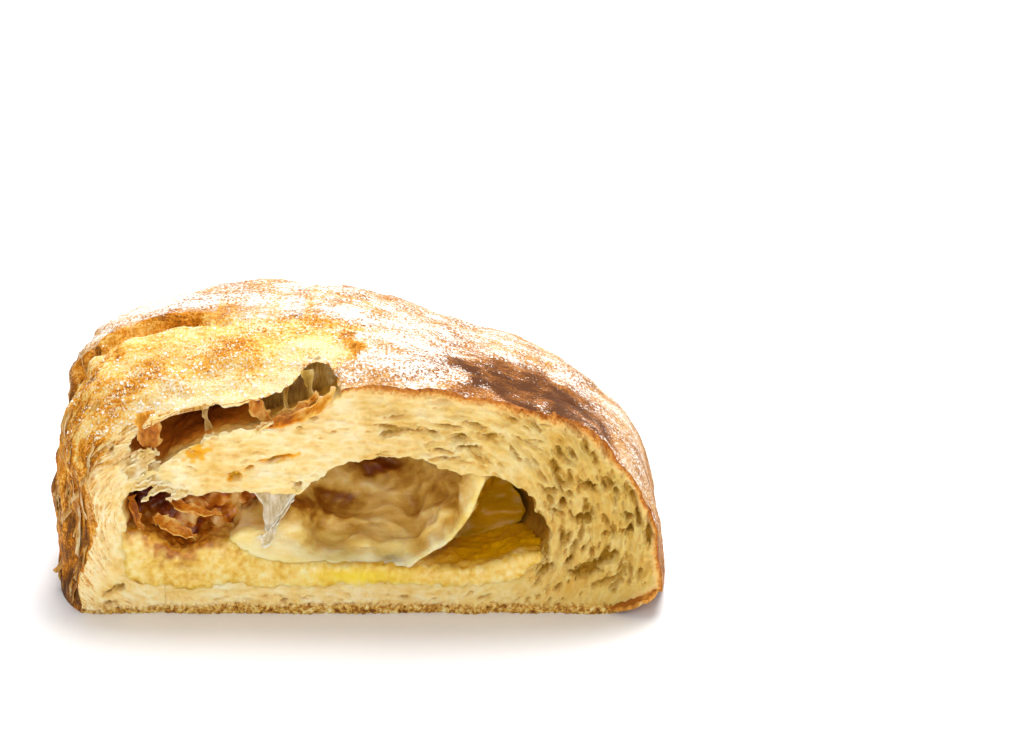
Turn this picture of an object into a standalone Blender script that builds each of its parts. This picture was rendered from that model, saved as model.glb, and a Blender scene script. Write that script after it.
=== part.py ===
"""Half of a baked turnover pastry, cut across with a knife, lying on its base.

Axes: +X to the right along the cut face, +Y from the cut face to the rounded back, +Z up.
The origin is on the flat base, midway between the cut face and the back.
The cut face looks to -Y. Behind it lie a large pocket, which holds the filling, and a smaller
hollow under the crust. The filling is custard on the pocket's floor, a stretched cheese with
a bubble in it, and a browned lump at the left. Each of them is a body of its own.
"""

import math
import random

import bmesh
import bpy
from mathutils import Matrix, Vector, noise
from mathutils.bvhtree import BVHTree

MM = 0.001

# Driving dimensions
HALF_WIDTH = 64.5 * MM
CUT_TO_ORIGIN = 33 * MM
WIDEST_DEPTH = 24 * MM  # distance behind the cut face at which the pastry is widest
BACK_REACH = 42 * MM  # from the widest place to the back
GAP = 0.45 * MM  # clearance between touching bodies
SEED = 11

# Profiles across the pastry, as (x, value) in millimetres from the left side to the right
CREST_HEIGHT = [(-66, 56), (-50, 58.6), (-35, 60.3), (-22, 60.8), (-5, 59), (8, 55.6), (20, 51.6),
                (35, 47), (50, 44), (66, 42)]
FRONT_REACH = [(-65, 37), (-40, 40), (0, 60), (65, 71)]
CUSTARD_TOP = [(-50, 19), (-44, 17.4), (-41, 14.8), (-35, 13.2), (-30, 15.8), (-26, 15.4), (-22, 12.6),
               (-15, 10.7), (0, 10.3), (10, 10), (20, 9.3), (28, 10.4), (34, 12.4), (42, 14)]

# Plain numbers across the pastry, as (x in millimetres, value)
KNIFE_SQUEEZE = [(-66, 0.03), (-45, 0.14), (-30, 0.20), (-8, 0.16), (5, 0.10), (15, 0.055), (30, -0.02),
                 (50, -0.07), (66, -0.08)]
SHOULDER_POWER = [(-65, 12), (-45, 6.5), (-30, 4.8), (0, 3.6), (30, 4.2), (65, 5)]
PLAN_POWER = 2.8
RISE_POWER = 2.3
REACH_STEPS = 5  # how often the reach to the outline is corrected
SQUEEZE_DEPTH = 11 * MM

# Crust that lifted while baking, on the dome, in millimetres
EAR_LINE = [(-66, 19), (-58, 17.5), (-51, 17.5), (-47, 20.5), (-33, 20.8), (-20, 19), (-8, 19.5), (4, 19)]
CRUST_EDGE = [(-1, -2), (3, -3.3), (5, -4.3), (9.8, 0.9), (11.4, 0.3), (13.7, -2.3), (19, 1.8), (32, 6.6)]
CRUST_STEP = 1.1
EAR_GROOVE = 1.3
CRUST_LUMPS = [(1.3, 17), (0.6, 7)]  # (height, width) of its swellings
FURROW_HEIGHT = 2.4  # of the leaves and furrows down the left side
FURROW_SIZE = Vector((6, 3.6, 22))
BASE_EDGE = 6  # the relief fades out over this height above the base
WAIST = [(2.2, 19), (-2.6, 42)]  # (how far inwards, at what height) the left edge of the cut swings
CORNER_CURL = 5  # how far the base curls up at the right corner of the cut
CUT_ROUGHNESS = 0.7
CUT_ROUGHNESS_WIDTH = 6

# Outlines on the cut face, as (x, height) in millimetres
POCKET = [(-47.6, 8.4), (-48, 13), (-47.4, 20), (-46.9, 26.4), (-44.6, 29), (-41.6, 28.9), (-36.9, 26.9),
          (-30, 27.2), (-24, 27.6), (-18, 27.4), (-12.6, 27.2), (-10, 28.4), (-6, 31.6), (-1.9, 33.9),
          (5, 34.8), (13, 34.9), (18.5, 32.7), (23.6, 31), (28.6, 30.6), (33.2, 28.8), (36.6, 25.6),
          (37.2, 22.4), (39.7, 19.6), (39.6, 16), (37, 11), (33, 8.6), (24, 7.2), (0, 6.9), (-30, 6.9),
          (-44, 7)]
HOLLOW = [(-45.4, 33.8), (-40.6, 32.6), (-36.5, 36.2), (-33, 38.3), (-24.5, 41), (-15.6, 42.2), (-10, 43.6),
          (-5.4, 46.2), (-2.6, 49), (-3.6, 51.2), (-7.6, 52.7), (-11.2, 51.6), (-15, 48.8), (-20, 47.2),
          (-29.2, 46), (-36.6, 44.3), (-42, 41.4), (-46, 37.4)]
BUBBLE = [(-14.6, 22.4), (-11.2, 19.4), (-10, 16), (-8, 13.4), (-2, 12), (6, 11.8), (12.4, 13.6),
          (16.6, 16.6), (19.7, 21.6), (21.6, 27), (21.2, 32.4), (17, 35.4), (5, 37), (-4, 36), (-9, 32),
          (-12, 28)]
RIGHT_CAVE = [(10.4, 10.2), (15.1, 13.2), (19.1, 15.5), (22.1, 20.4), (24.6, 25.3), (26.4, 29), (27.8, 32.6),
              (36, 33), (44, 26), (44, 12), (36, 6), (24, 5), (12, 7)]
LEFT_CAVE = [(-51, 10), (-51, 30), (-40, 32), (-30, 30.4), (-21.6, 30), (-20.2, 26.6), (-19.6, 22.4),
             (-22.7, 18.6), (-26, 17), (-27, 13), (-30, 8)]

# Each hollow narrows towards its back: (share of its depth, share of its outline kept, rise in millimetres)
POCKET_TAPER = [(0.2, 0.99, 0), (0.4, 0.95, 0), (0.6, 0.87, 0), (0.8, 0.72, 0), (0.94, 0.5, 0), (1, 0.28, 0)]
HOLLOW_TAPER = [(0.3, 0.98, 0.3), (0.5, 0.92, 1.6), (0.75, 0.74, 2.6), (1, 0.34, 3)]
BUBBLE_TAPER = [(0.2, 0.98, 0.3), (0.4, 0.93, 0.8), (0.6, 0.84, 1.5), (0.8, 0.68, 2.3), (1, 0.36, 3)]
CAVE_TAPER = [(0.5, 0.92, 0), (0.85, 0.7, 0), (1, 0.4, 0)]
STRAIGHT = [(1, 1, 0)]
POCKET_FLOOR = 6.9  # millimetres, the height that the pocket narrows towards
POCKET_DEPTH = 36 * MM
THROUGH_POCKET = POCKET_DEPTH + 4 * MM
HOLLOW_DEPTH = 22 * MM
BUBBLE_DEPTH = 25 * MM
CAVE_DEPTH = 18 * MM
WALL_RIPPLE = 0.8 * MM  # how far the walls of the hollows wander
BUBBLE_RIPPLE = 2 * MM
RIPPLE_WIDTH = 7 * MM
CUTTER_STARTS = (-4 * MM, 0)  # depths of a cutter's first rings: clear of the cut face, then on it
FILLING_STARTS = (0.6 * MM,)  # the filling stops just behind the cut face
CUSTARD_RIPPLE = 0.7  # height of the waves on the custard, in millimetres

# Pores of the crumb on the cut face, in millimetres: (how many, left, right, low, high, usual half length)
PORE_FIELDS = [(60, 42, 59, 5, 36, 2), (30, 4, 56, 37, 45, 2), (12, -36, -2, 30, 40, 1.4),
               (14, -44, 40, 3.4, 5.4, 1.2), (8, -53, -50, 8, 34, 1.3)]
FOLD_LEFT, FOLD_RIGHT, FOLD_HEIGHT = -40, 18, 20  # the line that the dough's layers fold round
PORE_DEPTH = 0.8  # of its half length

# Browned lumps at the pocket's left end, in millimetres: (x, depth behind the cut face, height, radius)
BROWNED_LUMPS = [(-42, 14, 21.5, 6.2), (-36, 12, 18.6, 5.4), (-30, 14, 19.4, 5.6), (-25, 16, 22, 4.6),
                 (-35, 19, 23, 8)]
LUMP_RELIEF = 0.4  # of its radius
LUMP_DETAIL = 4 * MM

# Flakes standing off the left side, in millimetres: (depth, height, length, width, turn in degrees)
FLAKES = [(3, 44, 8, 5, 20), (5, 34, 10, 4, -15), (10, 40, 9, 5, 10), (2.5, 24, 9, 4, 12),
          (8, 24, 11, 5, -10), (4, 12, 10, 4, -20), (11, 14, 10, 5, 15), (5, 3.5, 8, 4, 25),
          (16, 28, 11, 5, -8), (18, 12, 10, 5, 170)]
FLAKE_THICKNESS = 1.1
FLAKE_CURL = 0.06  # of its length
FLAKE_ROOT = 0.25  # the share of its length that is sunk
FLAKE_SINK = 0.3
FLAKE_TILT = math.radians(12)
# Torn tips of the dough between the hollow and the pocket: (x, depth, height, length, width, turn in degrees)
TORN_TIPS = [(-40, 1.4, 31.4, 8, 4, 84), (-41, 2.6, 33.4, 7, 4, 62)]


def smooth_value(points, at):
    """Value at a place on a smooth curve through (place, value) pairs."""
    i = 0
    while i < len(points) - 2 and at > points[i + 1][0]:
        i += 1
    (x0, y0), (x1, y1) = points[i], points[i + 1]
    before, after = points[max(i - 1, 0)], points[min(i + 2, len(points) - 1)]
    run = x1 - x0
    pull0 = run * (y1 - before[1]) / (x1 - before[0])
    pull1 = run * (after[1] - y0) / (after[0] - x0)
    t = min(max((at - x0) / run, 0), 1)
    eased = t * t * (3 - 2 * t)
    return y0 + (y1 - y0) * eased + t * (1 - t) * ((1 - t) * pull0 - t * pull1)


def smooth_step(low, high, value):
    t = min(max((value - low) / (high - low), 0), 1)
    return t * t * (3 - 2 * t)


def plan_share(x, depth):
    """0 above the middle of the widest place and 1 on the pastry's outline, seen from above."""
    reach = smooth_value(FRONT_REACH, x / MM) * MM if depth < WIDEST_DEPTH else BACK_REACH
    across = abs(x) / HALF_WIDTH
    along = abs(depth - WIDEST_DEPTH) / reach
    return (across**PLAN_POWER + along**PLAN_POWER) ** (1 / PLAN_POWER)


def dome_height(x, depth, share):
    """Height of the crust: a dome with steep sides, lower towards the cut face where the knife pressed."""
    power = smooth_value(SHOULDER_POWER, x / MM)
    rise = max(1 - share**power, 0) ** (1 / RISE_POWER)
    squeeze = smooth_value(KNIFE_SQUEEZE, x / MM) * math.exp(-(max(depth, 0) / SQUEEZE_DEPTH) ** 1.5)
    return smooth_value(CREST_HEIGHT, x / MM) * MM * rise * (1 - squeeze)


def dome_point(direction):
    """Where the pastry's surface lies in this direction from the middle of its base."""
    flat = math.hypot(direction.x, direction.y)
    across, along = direction.x / flat, direction.y / flat
    power = smooth_value(SHOULDER_POWER, HALF_WIDTH * direction.x / MM)
    share = flat ** (2 / power) if direction.z > 0 else flat
    reach = HALF_WIDTH * share
    for _ in range(REACH_STEPS):
        reach *= share / plan_share(reach * across, WIDEST_DEPTH + reach * along)
    x, depth = reach * across, WIDEST_DEPTH + reach * along
    z = dome_height(x, depth, share) if direction.z > 0 else 0
    return Vector((x, depth - CUT_TO_ORIGIN, z))


def lifted_crust(x, depth):
    """1 on the floury crust and 0 on the pale dough that burst open at the front left. Millimetres."""
    behind_ear = smooth_step(-1.5, 1.5, depth - smooth_value(EAR_LINE, x))
    right_of_edge = smooth_step(-1.5, 1.5, x - smooth_value(CRUST_EDGE, depth))
    return max(behind_ear, right_of_edge)


def crust_relief(point, normal):
    """Height of the crust's lumps, furrows and lifted edges at a point of the dome."""
    x, depth = point.x / MM, (point.y + CUT_TO_ORIGIN) / MM
    height = sum(rise * noise.noise(point / (width * MM)) for rise, width in CRUST_LUMPS)
    stretched = Vector([at / (size * MM) for at, size in zip(point, FURROW_SIZE)])
    height += FURROW_HEIGHT * noise.noise(stretched) * smooth_step(0.45, 0.9, -normal.x)
    if normal.z > 0.2:
        behind_groove = depth - smooth_value(EAR_LINE, x) + 2
        height += CRUST_STEP * (lifted_crust(x, depth) - 1)
        height -= EAR_GROOVE * math.exp(-(behind_groove / 1.8) ** 2) * smooth_step(-26, -36, x)
    return height * MM * smooth_step(0, BASE_EDGE, point.z / MM)


def settle(point):
    """Shapes the low edges near the cut: a waist at the left, and the base curled up at the right corner."""
    near_cut = smooth_step(16, 4, (point.y + CUT_TO_ORIGIN) / MM)
    z = point.z / MM
    waist = sum(inwards * math.exp(-((z - height) / 9) ** 2) for inwards, height in WAIST)
    point.x += waist * near_cut * smooth_step(-46, -54, point.x / MM) * MM
    curl = CORNER_CURL * smooth_step(53, 63, point.x / MM) * near_cut * smooth_step(14, 0, z)
    point.z = max(point.z, 0) + curl * MM


def even_direction(corner):
    """Direction of a point on the cube, with the cube's grid spread evenly over the sphere."""
    return Vector([math.tan(c * math.pi / 4) for c in corner]).normalized()


def object_from(bm, name):
    bmesh.ops.recalc_face_normals(bm, faces=bm.faces)
    mesh = bpy.data.meshes.new(name)
    bm.to_mesh(mesh)
    bm.free()
    obj = bpy.data.objects.new(name, mesh)
    bpy.context.scene.collection.objects.link(obj)
    return obj


def combine(target, other, operation):
    """Applies one Boolean to target. The other object is removed."""
    modifier = target.modifiers.new(operation.title(), "BOOLEAN")
    modifier.operation = operation
    modifier.solver = "MANIFOLD"
    modifier.object = other
    bpy.context.view_layer.update()
    mesh = bpy.data.meshes.new_from_object(target.evaluated_get(bpy.context.evaluated_depsgraph_get()))
    target.modifiers.clear()
    target.data = mesh
    bpy.data.objects.remove(other)
    return target


def loaf():
    """The whole dome, from a cube whose faces are subdivided and pushed out to the crust."""
    bm = bmesh.new()
    bmesh.ops.create_cube(bm, size=2)
    bmesh.ops.subdivide_edges(bm, edges=bm.edges, cuts=26, use_grid_fill=True)
    for vert in bm.verts:
        vert.co = dome_point(even_direction(vert.co))
    bm.normal_update()
    heights = [crust_relief(vert.co, vert.normal) for vert in bm.verts]
    for vert, height in zip(bm.verts, heights):
        vert.co += vert.normal * height
        settle(vert.co)
    flat_base = [face for face in bm.faces if all(vert.co.z == 0 for vert in face.verts)]
    bmesh.ops.dissolve_faces(bm, faces=flat_base)
    return object_from(bm, "pastry")


def crumb_pores():
    """Oval pores, scattered by a seeded draw and drawn out along the folded layers, as one cutter."""
    rng = random.Random(SEED)
    placed = []
    bm = bmesh.new()
    for count, left, right, low, high, usual in PORE_FIELDS:
        for _ in range(count):
            x, z = rng.uniform(left, right), rng.uniform(low, high)
            length = usual * rng.uniform(0.6, 1.4)
            if any(math.dist((x, z), (px, pz)) < length + other for px, pz, other in placed):
                continue
            placed.append((x, z, length))
            fold = min(max(x, FOLD_LEFT), FOLD_RIGHT)
            slope = math.atan2(x - fold, FOLD_HEIGHT - z)
            size = Matrix.Diagonal(Vector((length, PORE_DEPTH * length, length * rng.uniform(0.4, 0.6)))) * MM
            place = Matrix.Translation(Vector((x * MM, -CUT_TO_ORIGIN, z * MM)))
            turn = Matrix.Rotation(-slope, 4, "Y")
            bmesh.ops.create_uvsphere(bm, u_segments=8, v_segments=5, radius=1,
                                      matrix=place @ turn @ size.to_4x4())
    return object_from(bm, "crumb_pores")


def knife_block():
    """A block whose front is the uneven cut face. It holds all that lies behind the cut."""
    width, height, step = 144 * MM, 70 * MM, 3.2 * MM
    bm = bmesh.new()
    bmesh.ops.create_grid(bm, x_segments=round(width / step), y_segments=round(height / step), size=0.5)
    bmesh.ops.scale(bm, vec=(width, height, 1), verts=bm.verts)
    bmesh.ops.rotate(bm, matrix=Matrix.Rotation(math.radians(90), 3, "X"), verts=bm.verts)
    bmesh.ops.translate(bm, vec=(0, -CUT_TO_ORIGIN, height / 2 - 3 * MM), verts=bm.verts)
    front = bm.faces[:]
    rim = [edge for edge in bm.edges if edge.is_boundary]
    sides = bmesh.ops.extrude_edge_only(bm, edges=rim)["geom"]
    for vert in [item for item in sides if isinstance(item, bmesh.types.BMVert)]:
        vert.co.y = 2 * CUT_TO_ORIGIN
    bmesh.ops.holes_fill(bm, edges=[edge for edge in bm.edges if edge.is_boundary])
    for vert in {vert for face in front for vert in face.verts}:
        wander = noise.noise(vert.co / (CUT_ROUGHNESS_WIDTH * MM))
        vert.co.y += CUT_ROUGHNESS * (0.5 + wander) * MM
    return object_from(bm, "knife_block")


def outline_ring(points, count):
    """Evenly spaced places, in metres, on the closed smooth curve through points in millimetres."""
    closed = [*points, points[0]]
    travelled = [0]
    for one, other in zip(closed, closed[1:]):
        travelled.append(travelled[-1] + math.dist(one, other))
    total = travelled[-1]
    length = list(zip(travelled, closed))
    lap = [(s - total, p) for s, p in length[-4:-1]] + length + [(s + total, p) for s, p in length[1:4]]
    x_curve = [(s, p[0]) for s, p in lap]
    z_curve = [(s, p[1]) for s, p in lap]
    stops = [total * i / count for i in range(count)]
    return [Vector((smooth_value(x_curve, s), 0, smooth_value(z_curve, s))) * MM for s in stops]


def tunnel(name, points, depth, taper, inset=0, starts=CUTTER_STARTS, count=44, floor=None, ripple=WALL_RIPPLE):
    """A closed body with this outline at the cut face, which narrows towards its back.
    The outline is extruded back in rings. Each ring shrinks towards a pivot over the outline's middle,
    at the floor if one is given."""
    ring = outline_ring(points, count)
    middle = sum(ring, Vector()) / count
    pivot = Vector((middle.x, 0, middle.z if floor is None else floor * MM))
    sides = [(ring[(i + 1) % count] - ring[i - 1]).normalized() for i in range(count)]
    inward = [Vector((side.z, 0, -side.x)) * inset for side in sides]
    stations = [(start, 1, 0) for start in starts]
    stations += [(share * (depth - inset), kept, rise * MM) for share, kept, rise in taper]
    bm = bmesh.new()
    bmesh.ops.create_circle(bm, cap_ends=True, segments=count, radius=1)
    face = bm.faces[:][0]
    for number, (y, kept, rise) in enumerate(stations):
        if number:
            face = bmesh.ops.extrude_discrete_faces(bm, faces=[face])["faces"][0]
        for vert, at, shift in zip(face.verts, ring, inward):
            vert.co = pivot + (at - pivot) * kept + shift + Vector((0, y - CUT_TO_ORIGIN, rise))
            wander = noise.noise_vector(vert.co / RIPPLE_WIDTH) * ripple
            vert.co += Vector((wander.x, 0, wander.z))
    bmesh.ops.holes_fill(bm, edges=[edge for edge in bm.edges if edge.is_boundary])
    return object_from(bm, name)


def custard_block(offset):
    """A block that reaches up from the base to the custard's wavy top, raised by offset."""
    bm = bmesh.new()
    bmesh.ops.create_grid(bm, x_segments=32, y_segments=12, size=0.5)
    bmesh.ops.scale(bm, vec=(100 * MM, 46 * MM, 1), verts=bm.verts)
    bmesh.ops.translate(bm, vec=(-2 * MM, 17 * MM - CUT_TO_ORIGIN, 0), verts=bm.verts)
    rim = [edge for edge in bm.edges if edge.is_boundary]
    top = bm.verts[:]
    sides = bmesh.ops.extrude_edge_only(bm, edges=rim)["geom"]
    bmesh.ops.holes_fill(bm, edges=[edge for edge in bm.edges if edge.is_boundary])
    for vert in top:
        ripple = CUSTARD_RIPPLE * noise.noise(vert.co / (5 * MM))
        vert.co.z = (smooth_value(CUSTARD_TOP, vert.co.x / MM) + ripple) * MM + offset
    for vert in [item for item in sides if isinstance(item, bmesh.types.BMVert)]:
        vert.co.z = 0
    return object_from(bm, "custard_block")


def filling(name):
    """Everything inside the pocket, clear of its walls by the gap."""
    return tunnel(name, POCKET, POCKET_DEPTH, POCKET_TAPER, GAP, FILLING_STARTS, floor=POCKET_FLOOR)


def lumps(name):
    """The browned lumps, as balls joined into one body."""
    whole = None
    for x, depth, z, radius in BROWNED_LUMPS:
        bm = bmesh.new()
        bmesh.ops.create_icosphere(bm, subdivisions=3, radius=radius * MM)
        for vert in bm.verts:
            vert.co *= 1 + LUMP_RELIEF * noise.noise(vert.co / LUMP_DETAIL + Vector((x, depth, z)))
            vert.co += Vector((x, depth, z)) * MM - Vector((0, CUT_TO_ORIGIN, 0))
        ball = object_from(bm, name)
        whole = combine(whole, ball, "UNION") if whole else ball
    return whole


def leaf(at, outward, turn, length, width):
    """A thin curled leaf of crust, pointed at its free end. Its root is sunk at a point of the surface."""
    bm = bmesh.new()
    bmesh.ops.create_cube(bm, size=1)
    bmesh.ops.subdivide_edges(bm, edges=bm.edges, cuts=2, use_grid_fill=True)
    for vert in bm.verts:
        along = vert.co.x + 0.5
        taper = 1 - 0.7 * along**2
        vert.co.x = (along - FLAKE_ROOT) * length
        vert.co.y *= width * taper
        vert.co.z = vert.co.z * FLAKE_THICKNESS * taper + FLAKE_CURL * length * along**2 - FLAKE_SINK
    upward = (Vector((0, 0, 1)) - outward * outward.z).normalized()
    axes = Matrix((upward, outward.cross(upward), outward)).transposed()
    lean = Matrix.Rotation(math.radians(turn), 3, "Z") @ Matrix.Rotation(-FLAKE_TILT, 3, "Y")
    bmesh.ops.rotate(bm, matrix=axes @ lean, verts=bm.verts)
    for vert in bm.verts:
        vert.co = vert.co * MM + at
    return object_from(bm, "leaf")


def add_flakes(pastry):
    bm = bmesh.new()
    bm.from_mesh(pastry.data)
    surface = BVHTree.FromBMesh(bm)
    bm.free()
    leaves = []
    for depth, height, length, width, turn in FLAKES:
        start = Vector((-2 * HALF_WIDTH, depth * MM - CUT_TO_ORIGIN, height * MM))
        at, outward, _, _ = surface.ray_cast(start, Vector((1, 0, 0)))
        leaves.append(leaf(at, outward, turn, length, width))
    for x, depth, height, length, width, turn in TORN_TIPS:
        at = Vector((x * MM, depth * MM - CUT_TO_ORIGIN, height * MM))
        leaves.append(leaf(at, Vector((0, -1, 0)), turn, length, width))
    for piece in leaves:
        combine(pastry, piece, "UNION")


def paint(obj, name, colour, roughness):
    material = bpy.data.materials.new(name)
    material.use_nodes = True
    shader = material.node_tree.nodes["Principled BSDF"]
    shader.inputs["Base Color"].default_value = (*colour, 1)
    shader.inputs["Roughness"].default_value = roughness
    obj.data.materials.clear()
    obj.data.materials.append(material)


def drop_slivers(bm):
    """Keeps the largest connected body. Cuts can leave loose slivers beside it."""
    left = set(bm.verts)
    bodies = []
    while left:
        body = set()
        reached = {left.pop()}
        while reached:
            vert = reached.pop()
            body.add(vert)
            reached |= {edge.other_vert(vert) for edge in vert.link_edges} - body
        left -= body
        bodies.append(body)
    bodies.sort(key=len)
    bmesh.ops.delete(bm, geom=[vert for body in bodies[:-1] for vert in body], context="VERTS")


def finish(obj, collection):
    """Names the mesh like its object, splits its faces into triangles and puts it in the collection."""
    bm = bmesh.new()
    bm.from_mesh(obj.data)
    drop_slivers(bm)
    bmesh.ops.triangulate(bm, faces=bm.faces)
    bm.to_mesh(obj.data)
    bm.free()
    obj.data.name = obj.name
    for old in list(obj.users_collection):
        old.objects.unlink(obj)
    collection.objects.link(obj)


def build():
    for old in list(bpy.data.objects):
        bpy.data.objects.remove(old)
    noise.seed_set(SEED)

    pastry = combine(loaf(), knife_block(), "INTERSECT")
    combine(pastry, crumb_pores(), "DIFFERENCE")
    combine(pastry, tunnel("hollow", HOLLOW, HOLLOW_DEPTH, HOLLOW_TAPER), "DIFFERENCE")
    combine(pastry, tunnel("pocket", POCKET, POCKET_DEPTH, POCKET_TAPER, floor=POCKET_FLOOR), "DIFFERENCE")
    add_flakes(pastry)

    custard = combine(filling("custard"), custard_block(0), "INTERSECT")

    cheese = combine(filling("cheese"), custard_block(GAP), "DIFFERENCE")
    combine(cheese, tunnel("bubble", BUBBLE, BUBBLE_DEPTH, BUBBLE_TAPER, ripple=BUBBLE_RIPPLE), "DIFFERENCE")
    combine(cheese, tunnel("right_cave", RIGHT_CAVE, CAVE_DEPTH, CAVE_TAPER), "DIFFERENCE")
    combine(cheese, tunnel("left_cave", LEFT_CAVE, THROUGH_POCKET, STRAIGHT), "DIFFERENCE")

    browned = combine(lumps("browned_filling"), filling("bounds"), "INTERSECT")
    combine(browned, tunnel("cheese_bounds", LEFT_CAVE, THROUGH_POCKET, STRAIGHT, GAP), "INTERSECT")
    combine(browned, custard_block(GAP), "DIFFERENCE")

    collection = bpy.data.collections.new("turnover_pastry")
    bpy.context.scene.collection.children.link(collection)
    for obj in (pastry, custard, cheese, browned):
        finish(obj, collection)
    paint(pastry, "baked_dough", (0.72, 0.45, 0.2), 0.8)
    paint(custard, "custard", (0.83, 0.56, 0.13), 0.5)
    paint(cheese, "melted_cheese", (0.86, 0.74, 0.46), 0.35)
    paint(browned, "browned_filling", (0.42, 0.16, 0.04), 0.3)


build()
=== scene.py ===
"""The looks of one half of a baked turnover pastry, lying on its base with the cut face forward."""

import math
import random
from functools import partial

import bmesh
import bpy
import numpy as np
from mathutils import Matrix, Vector, noise
from mathutils.bvhtree import BVHTree


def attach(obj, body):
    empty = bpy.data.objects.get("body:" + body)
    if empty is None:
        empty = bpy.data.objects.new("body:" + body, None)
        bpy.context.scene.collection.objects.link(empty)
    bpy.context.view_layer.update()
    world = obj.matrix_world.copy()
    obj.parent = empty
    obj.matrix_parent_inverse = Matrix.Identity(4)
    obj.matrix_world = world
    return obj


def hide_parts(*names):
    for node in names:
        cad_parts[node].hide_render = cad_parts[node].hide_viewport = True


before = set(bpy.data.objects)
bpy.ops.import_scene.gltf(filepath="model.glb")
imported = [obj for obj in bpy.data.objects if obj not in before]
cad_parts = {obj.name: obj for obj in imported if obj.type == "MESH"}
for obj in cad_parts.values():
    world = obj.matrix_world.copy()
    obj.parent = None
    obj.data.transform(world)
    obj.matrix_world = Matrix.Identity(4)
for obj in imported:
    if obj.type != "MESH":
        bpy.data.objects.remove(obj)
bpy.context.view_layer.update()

noise.seed_set(11)

# The risen dough, before the knife: a dome of laminated yeast dough, rolled, filled and baked.
# It burst along its left shoulder, where the crust lifted into an ear over paler dough.
# A cube is subdivided finely and its faces are pushed out to the dome.
MM = 0.001
CUT = -33 * MM
HALF_WIDTH = 64.5 * MM
WIDEST = 24 * MM
BACK_REACH = 42 * MM
CREST_HEIGHT = [(-66, 56), (-50, 58.6), (-35, 60.3), (-22, 60.8), (-5, 59), (8, 55.6), (20, 51.6),
                (35, 47), (50, 44), (66, 42)]
FRONT_REACH = [(-65, 37), (-40, 40), (0, 60), (65, 71)]
KNIFE_SQUEEZE = [(-66, 0.03), (-45, 0.14), (-30, 0.20), (-8, 0.16), (5, 0.10), (15, 0.055), (30, -0.02),
                 (50, -0.07), (66, -0.08)]
SHOULDER_POWER = [(-65, 12), (-45, 6.5), (-30, 4.8), (0, 3.6), (30, 4.2), (65, 5)]
PLAN_POWER, RISE_POWER = 2.8, 2.3
SQUEEZE_DEPTH = 11 * MM
EAR_LINE = [(-66, 22), (-58, 21), (-51, 20), (-47, 21), (-33, 20.8), (-20, 19), (-8, 19.5), (4, 19)]
CRUST_EDGE = [(-1, -2), (3, -3.3), (5, -4.3), (9.8, 0.9), (11.4, 0.3), (13.7, -2.3), (19, 1.8), (32, 6.6)]
WAIST = [(2.2, 19), (-2.6, 42)]
FINE_RELIEF = [(1.3, 17), (0.6, 7), (0.28, 2.6), (0.14, 1.1)]  # (height, width) of swellings, in mm
FURROWS, RIDGES = (6, 3.6, 22), (3, 1.7, 9)  # widths in x, y and z of those down the steep left side
CUBE_CUTS = (151, 103, 75)


def curve(points, at):
    """Smooth curve through (place, value) pairs, read at one place or at an array of places."""
    places, values = np.array(points, float).T
    i = np.clip(np.searchsorted(places, at) - 1, 0, len(places) - 2)
    before, after = np.maximum(i - 1, 0), np.minimum(i + 2, len(places) - 1)
    run = places[i + 1] - places[i]
    pull0 = run * (values[i + 1] - values[before]) / (places[i + 1] - places[before])
    pull1 = run * (values[after] - values[i]) / (places[after] - places[i])
    t = np.clip((at - places[i]) / run, 0, 1)
    eased = t * t * (3 - 2 * t)
    return values[i] + (values[i + 1] - values[i]) * eased + t * (1 - t) * ((1 - t) * pull0 - t * pull1)


def step(low, high, value):
    """Eases from 0 at low to 1 at high. Low may be the larger of the two."""
    t = np.clip((value - low) / (high - low), 0, 1)
    return t * t * (3 - 2 * t)


def wander(points, size):
    """Smooth noise from about -0.5 to 0.5 at each point. The size is one width, or one for each axis."""
    return np.array([noise.noise(at) for at in (points / (np.array(size) * MM)).tolist()])


def coordinates(mesh):
    flat = np.empty(len(mesh.vertices) * 3, np.float32)
    mesh.vertices.foreach_get("co", flat)
    return flat.reshape(-1, 3).astype(float)


def place(mesh, points):
    mesh.vertices.foreach_set("co", points.astype(np.float32).ravel())
    mesh.update()


def normals(mesh):
    flat = np.empty(len(mesh.vertices) * 3, np.float32)
    mesh.vertex_normals.foreach_get("vector", flat)
    return flat.reshape(-1, 3).astype(float)


def measures(points):
    """Each point's x, its depth behind the cut and its height, in millimetres."""
    return points[:, 0] / MM, (points[:, 1] - CUT) / MM, points[:, 2] / MM


def surface_of(piece):
    """The piece's surface as it is now, for finding what lies near it."""
    bm = bmesh.new()
    bm.from_mesh(piece.data)
    surface = BVHTree.FromBMesh(bm)
    bm.free()
    return surface


def piece_from(bm, name):
    bmesh.ops.recalc_face_normals(bm, faces=bm.faces)
    mesh = bpy.data.meshes.new(name)
    bm.to_mesh(mesh)
    bm.free()
    piece = bpy.data.objects.new(name, mesh)
    bpy.context.scene.collection.objects.link(piece)
    return piece


def plan_share(x, depth):
    """0 above the middle of the widest place and 1 on the pastry's outline, seen from above."""
    reach = np.where(depth < WIDEST, curve(FRONT_REACH, x / MM) * MM, BACK_REACH)
    return ((abs(x) / HALF_WIDTH)**PLAN_POWER + (abs(depth - WIDEST) / reach)**PLAN_POWER)**(1 / PLAN_POWER)


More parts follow.
